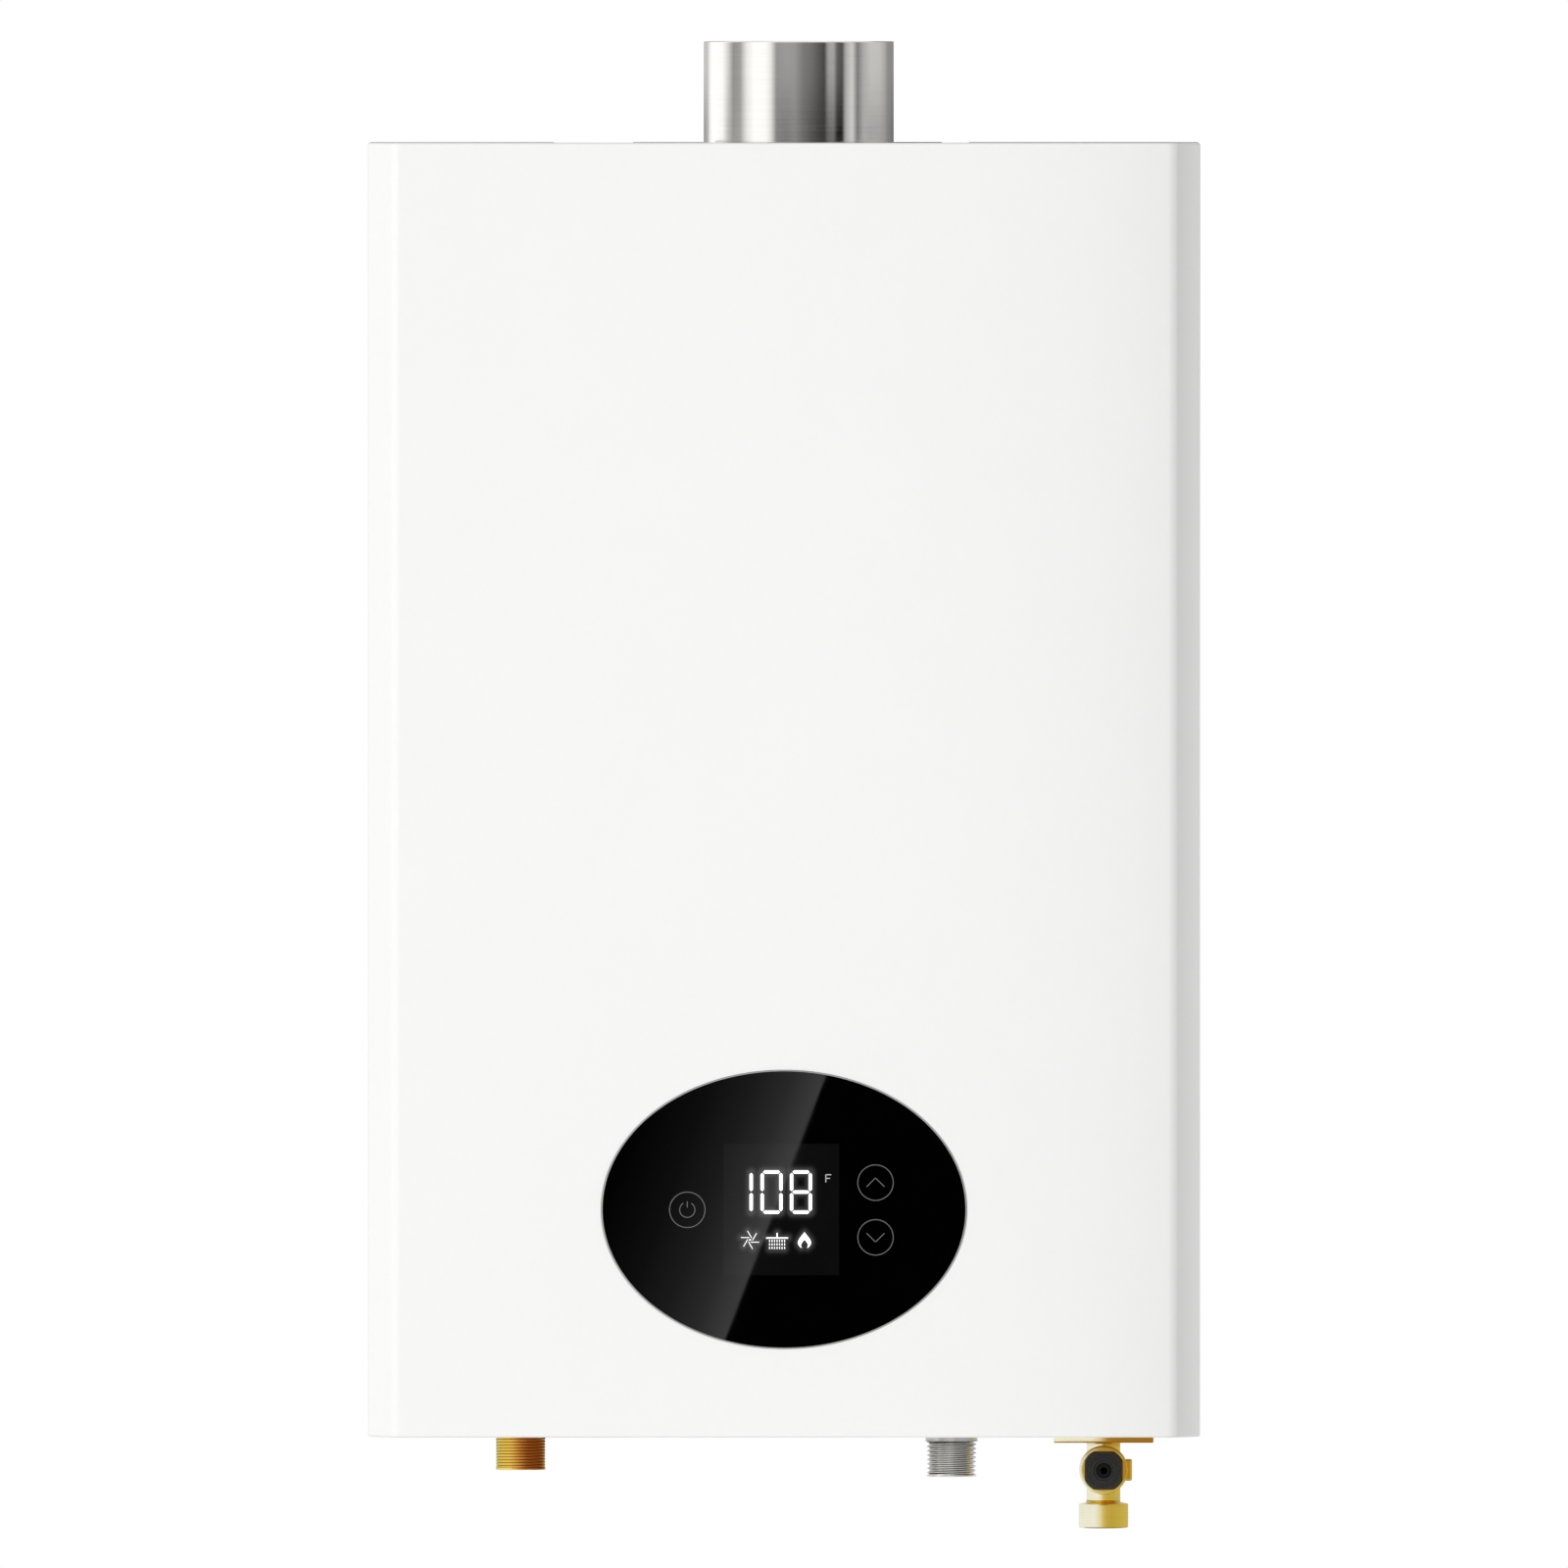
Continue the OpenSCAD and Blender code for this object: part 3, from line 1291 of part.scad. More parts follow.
front_cover();
chassis();
flue_collar();
flue_gasket();
fan_scroll();
fan_wheel();
fan_shaft();
fan_motor();
exhaust_hood();
pressure_switch();
switch_bracket();
pressure_tube();
exchanger_shell();
exchanger_fins();
exchanger_coil();
exchanger_brackets();
burner_box();
burner_bars();
gas_manifold();
gas_nozzles();
spark_electrode();
flame_probe();
igniter_module();
gas_valve_body();
shutoff_coil();
modulating_coil();
gas_plunger();
gas_pipe();
gas_inlet_fitting();
cold_inlet_body();
inlet_strainer();
drain_knob();
drain_poppet();
drain_seal();
flow_sensor_body();
flow_spindle();
flow_rotor();
cold_pipe();
hot_pipe();
hot_outlet_fitting();
temperature_probe();
overheat_thermostat();
control_box();
control_lid();
control_board();
transformer();
cable_grommet();
display_glass();
panel_carrier();
display_board();
display_module();
touch_springs();
cover_screws();
collar_screws();
fitting_screws();
motor_screws();
panel_screws();
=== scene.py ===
"""Finished look of a wall-hung tankless gas water heater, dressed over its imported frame.

Lengths are metres along the frame's axes: X to the right, Y towards the wall, Z up.
"""

import json
import logging
import math
from dataclasses import dataclass
from enum import Enum
from typing import Any, Optional, Sequence

import bmesh
import bpy
from bmesh.types import BMEdge, BMFace, BMVert
from mathutils import Matrix, Vector


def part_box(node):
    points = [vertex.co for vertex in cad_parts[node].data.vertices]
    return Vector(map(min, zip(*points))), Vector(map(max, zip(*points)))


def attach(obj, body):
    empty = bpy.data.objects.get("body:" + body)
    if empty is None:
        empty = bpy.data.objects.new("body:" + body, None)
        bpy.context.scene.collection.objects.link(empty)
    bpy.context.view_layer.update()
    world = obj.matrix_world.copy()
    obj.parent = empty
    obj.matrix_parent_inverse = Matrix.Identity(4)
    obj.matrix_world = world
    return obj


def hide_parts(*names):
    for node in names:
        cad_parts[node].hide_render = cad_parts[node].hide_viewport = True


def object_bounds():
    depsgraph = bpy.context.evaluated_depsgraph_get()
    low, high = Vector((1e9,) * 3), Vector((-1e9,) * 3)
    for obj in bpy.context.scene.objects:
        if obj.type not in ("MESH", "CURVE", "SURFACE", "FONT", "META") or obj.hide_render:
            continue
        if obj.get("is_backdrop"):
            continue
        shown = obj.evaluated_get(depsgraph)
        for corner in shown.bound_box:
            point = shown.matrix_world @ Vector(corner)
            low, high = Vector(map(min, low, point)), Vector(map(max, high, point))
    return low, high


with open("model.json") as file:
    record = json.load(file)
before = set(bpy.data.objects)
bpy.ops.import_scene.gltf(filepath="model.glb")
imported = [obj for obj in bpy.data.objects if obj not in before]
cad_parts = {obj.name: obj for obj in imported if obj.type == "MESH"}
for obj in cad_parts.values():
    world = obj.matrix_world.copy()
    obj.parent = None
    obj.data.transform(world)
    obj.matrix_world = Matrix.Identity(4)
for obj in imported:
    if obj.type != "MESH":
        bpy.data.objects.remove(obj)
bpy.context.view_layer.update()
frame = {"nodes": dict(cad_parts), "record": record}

MM = 0.001
FULL_TURN = 2 * math.pi
QUARTER_TURN = math.pi / 2

# Tolerances of the mesh work
SAME_PLACE = 1e-6
MERGE_REACH = 1e-7
FLAT_ANGLE = 0.01

# Places that several pieces and stage cards share
COLLAR_X = 6.2 * MM
HOT_X = -111 * MM
GAS_X = 70.6 * MM
COLD_X = 134.6 * MM
PIPE_Y = -67 * MM
FLOOR_Z = -270.1 * MM
DRAIN_Z = -287.1 * MM

# Half-inch pipe ends below the cabinet
THREAD_R = 10.4775 * MM
SLIM_FLAT = 0.125
LIP_H = 0.7 * MM
LIP_EDGE = 0.15 * MM

log = logging.getLogger("water_heater")

Point = tuple[float, float]
Colour = tuple[float, float, float]


class Body(Enum):
    """Bodies of the frame that new pieces ride on."""

    HEATER = "heater"
    KNOB = "drain_knob"


class Axis(Enum):
    """Directions a turned piece can have, with the side its profile starts on."""

    UP = (Vector((0, 0, 1)), Vector((1, 0, 0)))
    FRONT = (Vector((0, -1, 0)), Vector((1, 0, 0)))

    @property
    def along(self) -> Vector:
        """Direction of the axis."""
        return self.value[0]

    @property
    def side(self) -> Vector:
        """Direction in which the profile's radius is measured."""
        return self.value[1]


class Grain(Enum):
    """Stretch of a finish's pattern along X, Y and Z; a small value draws it out."""

    EVEN = (1.0, 1.0, 1.0)
    ACROSS = (0.04, 1.0, 1.0)
    ROUND_UPRIGHT_AXIS = (0.03, 0.03, 1.0)
    ROUND_FRONT_AXIS = (0.03, 1.0, 0.03)


class Slot(Enum):
    """Material slots of the part's record."""

    COVER_PAINT = "cover_paint"
    CHASSIS_PAINT = "chassis_paint"
    STAINLESS = "stainless"
    GASKET_FIBRE = "gasket_fibre"
    GALVANISED = "galvanised"
    BARE_STEEL = "bare_steel"
    MOTOR_BLACK = "motor_black"
    SHAFT_STEEL = "shaft_steel"
    IVORY_PLASTIC = "ivory_plastic"
    SILICONE = "silicone"
    COPPER = "copper"
    DIE_CAST = "die_cast"
    COIL_WRAP = "coil_wrap"
    SMALL_BRASS = "small_brass"
    WHITE_CERAMIC = "white_ceramic"
    BLACK_PLASTIC = "black_plastic"
    NICKEL = "nickel"
    INLET_BRASS = "inlet_brass"
    OUTLET_BRASS = "outlet_brass"
    BLACK_RUBBER = "black_rubber"
    GREY_PLASTIC = "grey_plastic"
    BOARD_GREEN = "board_green"
    CORE_STEEL = "core_steel"
    BLACK_GLASS = "black_glass"
    DISPLAY_DARK = "display_dark"
    SCREW_STEEL = "screw_steel"


def add_node(tree: bpy.types.NodeTree, kind: str, values: Optional[dict[Any, Any]] = None,
             **settings: Any) -> bpy.types.Node:
    """Add a node to a tree.

    Args:
        tree: Tree of a material, of the world or of a group.
        kind: Type of the node.
        values: Default values, by the name or the number of the input.
        settings: Properties of the node, such as its operation.

    Returns:
        The new node.
    """
    node = tree.nodes.new(kind)
    for name, setting in settings.items():
        setattr(node, name, setting)
    for socket, value in (values or {}).items():
        node.inputs[socket].default_value = value
    return node


def grain_group() -> bpy.types.NodeTree:
    """Build the shader group for the fine and the broad unevenness of a surface.

    Returns:
        A group that turns a position into a colour, a roughness and a height.
    """
    tree = bpy.data.node_groups.new("surface_grain", "ShaderNodeTree")
    sockets = (
        ("Vector", "INPUT", "NodeSocketVector"),
        ("Stretch", "INPUT", "NodeSocketVector"),
        ("Scale", "INPUT", "NodeSocketFloat"),
        ("Dark", "INPUT", "NodeSocketColor"),
        ("Light", "INPUT", "NodeSocketColor"),
        ("Smooth", "INPUT", "NodeSocketFloat"),
        ("Rough", "INPUT", "NodeSocketFloat"),
        ("Colour", "OUTPUT", "NodeSocketColor"),
        ("Roughness", "OUTPUT", "NodeSocketFloat"),
        ("Height", "OUTPUT", "NodeSocketFloat"),
    )
    for name, way, kind in sockets:
        tree.interface.new_socket(name, in_out=way, socket_type=kind)
    broad_share = 0.05
    source = add_node(tree, "NodeGroupInput").outputs
    target = add_node(tree, "NodeGroupOutput").inputs
    stretch = add_node(tree, "ShaderNodeVectorMath", operation="MULTIPLY")
    fine = add_node(tree, "ShaderNodeTexNoise", {"Detail": 3.0})
    broad_scale = add_node(tree, "ShaderNodeMath", {1: broad_share}, operation="MULTIPLY")
    broad = add_node(tree, "ShaderNodeTexNoise", {"Detail": 2.0})
    average = add_node(tree, "ShaderNodeMix", {"Factor": 0.5})
    contrast = add_node(tree, "ShaderNodeMapRange", {"From Min": 0.35, "From Max": 0.65})
    tint = add_node(tree, "ShaderNodeMix", data_type="RGBA")
    gloss = add_node(tree, "ShaderNodeMapRange", {"From Min": 0.3, "From Max": 0.7})
    link = tree.links.new
    link(source["Vector"], stretch.inputs[0])
    link(source["Stretch"], stretch.inputs[1])
    link(stretch.outputs["Vector"], fine.inputs["Vector"])
    link(source["Scale"], fine.inputs["Scale"])
    link(source["Scale"], broad_scale.inputs[0])
    link(source["Vector"], broad.inputs["Vector"])
    link(broad_scale.outputs["Value"], broad.inputs["Scale"])
    link(fine.outputs["Fac"], average.inputs["A"])
    link(broad.outputs["Fac"], average.inputs["B"])
    link(average.outputs["Result"], contrast.inputs["Value"])
    link(contrast.outputs["Result"], tint.inputs["Factor"])
    link(source["Dark"], tint.inputs["A"])
    link(source["Light"], tint.inputs["B"])
    link(tint.outputs["Result"], target["Colour"])
    link(fine.outputs["Fac"], gloss.inputs["Value"])
    link(source["Smooth"], gloss.inputs["To Min"])
    link(source["Rough"], gloss.inputs["To Max"])
    link(gloss.outputs["Result"], target["Roughness"])
    link(fine.outputs["Fac"], target["Height"])
    return tree


def rgba(colour: Colour, share: float = 1.0) -> tuple[float, float, float, float]:
    """Return a colour times a share, with full alpha."""
    return (colour[0] * share, colour[1] * share, colour[2] * share, 1.0)


def grey(level: float) -> Colour:
    """Return a neutral colour."""
    return (level, level, level)


@dataclass(frozen=True)
class Finish:
    """A surface finish with a slightly uneven tint and gloss and a fine relief.

    Attributes:
        name: Name of the material.
        tint: Mean colour, linear.
        spread: Share by which the tint wanders to either side.
        smooth: Roughness of the smoothest spots.
        rough: Roughness of the roughest spots.
        metallic: One for bare metal, nought for paint and plastic.
        grain: How the pattern is drawn out.
        scale: Pattern features per metre.
        relief: Height of the fine relief.
        coat: Weight of a clear coat.
        gloss: Strength of the mirror-like part, 0.5 for common plastic.
    """

    name: str
    tint: Colour
    spread: float
    smooth: float
    rough: float
    metallic: float = 0.0
    grain: Grain = Grain.EVEN
    scale: float = 300.0
    relief: float = 0.002 * MM
    coat: float = 0.0
    gloss: float = 0.5

    def build(self, group: bpy.types.NodeTree) -> bpy.types.Material:
        """Build the material.

        Args:
            group: Shader group made by grain_group.

        Returns:
            The new material.
        """
        material = bpy.data.materials.new(self.name)
        material.use_nodes = True
        tree = material.node_tree
        shader = tree.nodes["Principled BSDF"]
        shader.inputs["Metallic"].default_value = self.metallic
        shader.inputs["Coat Weight"].default_value = self.coat
        shader.inputs["Specular IOR Level"].default_value = self.gloss
        place = add_node(tree, "ShaderNodeTexCoord")
        pattern = {"Stretch": self.grain.value, "Scale": self.scale,
                   "Dark": rgba(self.tint, 1 - self.spread), "Light": rgba(self.tint, 1 + self.spread),
                   "Smooth": self.smooth, "Rough": self.rough}
        grain = add_node(tree, "ShaderNodeGroup", pattern, node_tree=group)
        bump = add_node(tree, "ShaderNodeBump", {"Distance": self.relief})
        link = tree.links.new
        link(place.outputs["Object"], grain.inputs["Vector"])
        link(grain.outputs["Colour"], shader.inputs["Base Color"])
        link(grain.outputs["Roughness"], shader.inputs["Roughness"])
        link(grain.outputs["Height"], bump.inputs["Height"])
        link(bump.outputs["Normal"], shader.inputs["Normal"])
        return material


@dataclass(frozen=True)
class LitFinish(Finish):
    """A finish that also shines, evenly or after a point attribute of its mesh.

    Attributes:
        shine: Colour of the light.
        strength: Brightness of the light.
        attribute: Point attribute that scales the light, or empty for an even light.
    """

    shine: Colour = (0.97, 0.97, 1.0)
    strength: float = 1.0
    attribute: str = ""

    def build(self, group: bpy.types.NodeTree) -> bpy.types.Material:
        """Build the shining material.

        Args:
            group: Shader group made by grain_group.

        Returns:
            The new material.
        """
        material = super().build(group)
        tree = material.node_tree
        shader = tree.nodes["Principled BSDF"]
        shader.inputs["Emission Strength"].default_value = self.strength
        if not self.attribute:
            shader.inputs["Emission Color"].default_value = rgba(self.shine)
            return material
        glow = add_node(tree, "ShaderNodeAttribute", attribute_name=self.attribute)
        tint = add_node(tree, "ShaderNodeMix", {"A": rgba(self.shine, 0.0), "B": rgba(self.shine)},
                        data_type="RGBA")
        tree.links.new(glow.outputs["Fac"], tint.inputs["Factor"])
        tree.links.new(tint.outputs["Result"], shader.inputs["Emission Color"])
        return material


GLOW = "glow"

SLOT_FINISHES: dict[Slot, Finish] = {
    Slot.COVER_PAINT: Finish("white_enamel", (0.90, 0.90, 0.895), 0.006, 0.30, 0.36, scale=500),
    Slot.CHASSIS_PAINT: Finish("grey_white_enamel", (0.80, 0.80, 0.79), 0.02, 0.38, 0.5, scale=700),
    Slot.STAINLESS: Finish("polished_stainless", (0.80, 0.785, 0.76), 0.03, 0.05, 0.09, 1.0,
                           Grain.ROUND_UPRIGHT_AXIS, 900, 0.0004 * MM),
    Slot.GASKET_FIBRE: Finish("gasket_fibre", (0.46, 0.45, 0.41), 0.2, 0.85, 0.95, scale=900,
                              relief=0.05 * MM),
    Slot.GALVANISED: Finish("galvanised_sheet", (0.56, 0.58, 0.59), 0.14, 0.32, 0.5, 1.0, scale=110,
                            relief=0.004 * MM),
    Slot.BARE_STEEL: Finish("stamped_steel", (0.52, 0.52, 0.51), 0.1, 0.25, 0.42, 1.0, Grain.ACROSS, 500),
    Slot.MOTOR_BLACK: Finish("motor_enamel", (0.014, 0.014, 0.016), 0.25, 0.35, 0.5, scale=500),
    Slot.SHAFT_STEEL: Finish("ground_steel", grey(0.62), 0.06, 0.15, 0.28, 1.0,
                             Grain.ROUND_FRONT_AXIS, 1500),
    Slot.IVORY_PLASTIC: Finish("ivory_plastic", (0.70, 0.65, 0.52), 0.05, 0.4, 0.5, scale=600),
    Slot.SILICONE: Finish("silicone_tube", (0.62, 0.57, 0.42), 0.06, 0.5, 0.62, scale=300),
    Slot.COPPER: Finish("drawn_copper", (0.72, 0.36, 0.21), 0.16, 0.2, 0.4, 1.0, Grain.ACROSS, 220),
    Slot.DIE_CAST: Finish("die_cast_aluminium", (0.55, 0.55, 0.56), 0.08, 0.45, 0.6, 1.0, scale=900,
                          relief=0.02 * MM),
    Slot.COIL_WRAP: Finish("coil_wrap", (0.32, 0.03, 0.02), 0.2, 0.25, 0.4, 0.0,
                           Grain.ROUND_UPRIGHT_AXIS, 1200, 0.02 * MM),
    Slot.SMALL_BRASS: Finish("small_turned_brass", (0.74, 0.54, 0.2), 0.1, 0.2, 0.34, 1.0, scale=700),
    Slot.WHITE_CERAMIC: Finish("glazed_ceramic", (0.82, 0.79, 0.72), 0.04, 0.12, 0.2, scale=300, coat=0.4),
    Slot.BLACK_PLASTIC: Finish("black_moulded_plastic", grey(0.021), 0.12, 0.42, 0.55, scale=1600,
                               relief=0.012 * MM),
    Slot.NICKEL: Finish("nickel_plate", (0.46, 0.455, 0.44), 0.08, 0.12, 0.2, 1.0,
                        Grain.ROUND_UPRIGHT_AXIS, 1800, 0.002 * MM),
    Slot.INLET_BRASS: Finish("satin_brass", (0.86, 0.76, 0.46), 0.04, 0.12, 0.18, 1.0,
                             Grain.ROUND_UPRIGHT_AXIS, 1800, 0.001 * MM),
    Slot.OUTLET_BRASS: Finish("orange_brass", (0.85, 0.57, 0.135), 0.08, 0.13, 0.2, 1.0,
                              Grain.ROUND_UPRIGHT_AXIS, 1800, 0.002 * MM),
    Slot.BLACK_RUBBER: Finish("black_rubber", grey(0.018), 0.2, 0.62, 0.78, scale=1200,
                              relief=0.02 * MM),
    Slot.GREY_PLASTIC: Finish("grey_moulded_plastic", grey(0.34), 0.05, 0.42, 0.55, scale=1200,
                              relief=0.01 * MM),
    Slot.BOARD_GREEN: Finish("solder_mask", (0.02, 0.16, 0.05), 0.2, 0.2, 0.34, scale=400),
    Slot.CORE_STEEL: Finish("varnished_laminations", (0.06, 0.055, 0.05), 0.3, 0.3, 0.5, 0.6,
                            Grain.ACROSS, 1400, 0.03 * MM),
    Slot.BLACK_GLASS: Finish("black_glass", grey(0.0004), 0.2, 0.012, 0.03, scale=60, relief=0.0),
    Slot.DISPLAY_DARK: Finish("display_filter", (0.004, 0.004, 0.0045), 0.2, 0.05, 0.1, scale=200),
    Slot.SCREW_STEEL: Finish("zinc_plate", (0.62, 0.63, 0.66), 0.1, 0.2, 0.34, 1.0, scale=900),
}

NODE_FINISHES_WITH_SHADE: dict[str, Finish] = {
    # The poppet's tint is darker than the knob's: it is matt black plastic, and it also carries painted shade
    # of the recess round the nozzle.
    "drain_poppet": Finish("matt_black_plastic_painted_shade", grey(0.007), 0.15, 0.6, 0.75, scale=1600, gloss=0.2),
}

GROUND_EDGE = Finish("ground_glass_edge", grey(0.42), 0.1, 0.3, 0.45, scale=900)
KEY_PRINT = Finish("grey_key_print", grey(0.14), 0.08, 0.3, 0.45, scale=1500)
LIT_MARK = LitFinish("lit_mark", grey(0.7), 0.04, 0.2, 0.3, scale=900)
DIM_MARK = LitFinish("dim_mark", grey(0.3), 0.04, 0.2, 0.3, scale=900, strength=0.3)
LIT_FILM = LitFinish("lit_film", (0.0042, 0.0042, 0.0044), 0.1, 0.012, 0.03, scale=60, relief=0.0,
                     attribute=GLOW)
PALE_FLOOR = Finish("pale_floor", grey(0.86), 0.01, 0.7, 0.8, scale=4)


class Workshop:
    """Keeps the built finishes and turns meshes into dressed pieces."""

    def __init__(self) -> None:
        """Build the shared shader group."""
        self.group = grain_group()
        self.materials: dict[str, bpy.types.Material] = {}

    def material(self, finish: Finish) -> bpy.types.Material:
        """Return the material of a finish, built on first use."""
        if finish.name not in self.materials:
            self.materials[finish.name] = finish.build(self.group)
        return self.materials[finish.name]

    def dress(self, piece: bpy.types.Object, slot: Slot, finish: Optional[Finish] = None,
              body: Body = Body.HEATER, replaces: Sequence[str] = ()) -> None:
        """Give a piece its finish and its body, and hide the CAD nodes it stands for.

        Args:
            piece: Finished object.
            slot: Record slot whose finish the piece takes when it has none of its own.
            finish: Finish of its own, or None for the slot's.
            body: Body it rides on.
            replaces: Names of the CAD nodes it stands for.
        """
        piece.data.materials.append(self.material(finish or SLOT_FINISHES[slot]))
        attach(piece, body.value)
        if replaces:
            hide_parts(*replaces)
        log.info("piece %s on %s", piece.name, body.value)

    def dress_frame(self) -> None:
        """Give every CAD node its own finish or that of its record slot."""
        for row in frame["record"]["subparts"]:
            node = frame["nodes"][row["node"]]
            common = SLOT_FINISHES[Slot(row["material_slot"])]
            finish = self.material(NODE_FINISHES_WITH_SHADE.get(row["node"], common))
            for holder in node.material_slots:
                holder.material = finish
            log.info("node %s in %s", row["node"], finish.name)


class Blank:
    """A mesh in the making."""

    def __init__(self) -> None:
        """Start with an empty mesh."""
        self.mesh = bmesh.new()

    def block(self, low: Vector, high: Vector) -> list[BMVert]:
        """Add a block between two corners.

        Args:
            low: Lowest corner.
            high: Highest corner.

        Returns:
            The vertices of the block.
        """
        verts = bmesh.ops.create_cube(self.mesh, size=1.0)["verts"]
        bmesh.ops.scale(self.mesh, vec=high - low, verts=verts)
        bmesh.ops.translate(self.mesh, vec=(low + high) / 2, verts=verts)
        return verts

    def soften(self, verts: Sequence[BMVert], width: float, segments: int = 2) -> None:
        """Bevel every edge between some vertices.

        Args:
            verts: Vertices whose common edges are bevelled.
            width: Width of the bevel.
            segments: Segments across it.
        """
        inside = set(verts)
        edges = [e for e in self.mesh.edges if inside.issuperset(e.verts)]
        self.bevel(edges, width, segments)

    def bevel(self, edges: Sequence[BMEdge], width: float, segments: int) -> None:
        """Bevel some edges with a round profile."""
        bmesh.ops.bevel(self.mesh, geom=list(edges), offset=width, offset_type="OFFSET", segments=segments,
                        profile=0.5, affect="EDGES", clamp_overlap=True, material=-1)

    def turn(self, profile: Sequence[Point], foot: Vector, axis: Axis, steps: int = 96,
             ring: bool = True) -> list[BMVert]:
        """Turn a profile about an axis.

        Args:
            profile: Pairs of radius and height above the foot.
            foot: Point on the axis.
            axis: Direction of the axis.
            steps: Segments round the axis.
            ring: Whether the profile closes on itself; if not, it starts and ends on the axis.

        Returns:
            The vertices of the turned shape.
        """
        before = set(self.mesh.verts)
        points = [self.mesh.verts.new(foot + axis.side * r + axis.along * h) for r, h in profile]
        pairs = list(zip(points, points[1:]))
        if ring:
            pairs.append((points[-1], points[0]))
        edges = [self.mesh.edges.new(pair) for pair in pairs]
        bmesh.ops.spin(self.mesh, geom=points + edges, cent=foot, axis=axis.along, angle=FULL_TURN,
                       steps=steps, use_merge=True)
        made = [v for v in self.mesh.verts if v not in before]
        bmesh.ops.remove_doubles(self.mesh, verts=made, dist=MERGE_REACH)
        return [v for v in self.mesh.verts if v not in before]

    def circle(self, centre: Vector, radius: float, axis: Axis, segments: int) -> list[BMEdge]:
        """Add a bare circle.

        Args:
            centre: Centre of the circle.
            radius: Its radius.
            axis: Direction it faces.
            segments: Number of edges.

        Returns:
            The edges of the circle.
        """
        turn = Vector((0, 0, 1)).rotation_difference(axis.along).to_matrix().to_4x4()
        verts = bmesh.ops.create_circle(self.mesh, cap_ends=False, segments=segments, radius=radius,
                                        matrix=Matrix.Translation(centre) @ turn)["verts"]
        return list(dict.fromkeys(e for v in verts for e in v.link_edges))

    def outline(self, points: Sequence[Vector]) -> list[BMEdge]:
        """Add a closed outline through some points and return its edges."""
        verts = [self.mesh.verts.new(p) for p in points]
        return [self.mesh.edges.new((v, verts[i - 1])) for i, v in enumerate(verts)]

    def fill(self, edges: Sequence[BMEdge], facing: Sequence[float] = (0, 0, 0)) -> list[BMFace]:
        """Fill flat outlines.

        Args:
            edges: Edges of the outer outline and of the holes.
            facing: Direction the faces look in, or nought to leave it open.

        Returns:
            The new faces.
        """
        filled = bmesh.ops.triangle_fill(self.mesh, use_beauty=True, use_dissolve=False, edges=list(edges),
                                         normal=facing)
        return [g for g in filled["geom"] if isinstance(g, BMFace)]

    def thicken(self, faces: Sequence[BMFace], depth: Vector) -> None:
        """Extrude a flat sheet.

        Args:
            faces: Faces of the sheet.
            depth: Direction and thickness of the extrusion.
        """
        grown = bmesh.ops.extrude_face_region(self.mesh, geom=list(faces))["geom"]
        moved = [g for g in grown if isinstance(g, BMVert)]
        bmesh.ops.translate(self.mesh, vec=depth, verts=moved)

    def slab(self, edges: Sequence[BMEdge], depth: Vector) -> None:
        """Fill flat outlines, holes included, and extrude the sheet."""
        self.thicken(self.fill(edges), depth)

    def piece(self, name: str, sharp_deg: float = 32.0, closed: bool = True,
              sheet: float = 0.0) -> bpy.types.Object:
        """Put the finished mesh in the scene.

        Args:
            name: Name of the piece.
            sharp_deg: Edges that turn by more than this stay sharp.
            closed: Whether the faces can be turned outwards as closed shells.
            sheet: Thickness that an open sheet gets on its inner side.

        Returns:
            The new object.
        """
        if closed:
            bmesh.ops.recalc_face_normals(self.mesh, faces=self.mesh.faces[:])
        data = bpy.data.meshes.new(name)
        self.mesh.to_mesh(data)
        self.mesh.free()
        data.polygons.foreach_set("use_smooth", [True] * len(data.polygons))
        data.set_sharp_from_angle(angle=math.radians(sharp_deg))
        made = bpy.data.objects.new(name, data)
        bpy.context.scene.collection.objects.link(made)
        if sheet:
            wall = made.modifiers.new("sheet", "SOLIDIFY")
            wall.thickness = sheet
            wall.offset = -1.0
            wall.use_even_offset = True
        flat = made.modifiers.new("flat_faces", "WEIGHTED_NORMAL")
        flat.keep_sharp = True
        return made


def rounded(corner: Point, radius: float, start_deg: float, steps: int = 4) -> list[Point]:
    """Return a quarter circle for a turned profile.

    Args:
        corner: Centre of the circle.
        radius: Its radius.
        start_deg: Where the quarter starts; it runs anticlockwise.
        steps: Number of straight steps.

    Returns:
        Points from start to end.
    """
    turns = [math.radians(start_deg + 90 * i / steps) for i in range(steps + 1)]
    return [(corner[0] + radius * math.cos(a), corner[1] + radius * math.sin(a)) for a in turns]


def edge_rise(edge: BMEdge) -> float:
    """Return the height between an edge's two ends."""
    return abs(edge.verts[0].co.z - edge.verts[1].co.z)


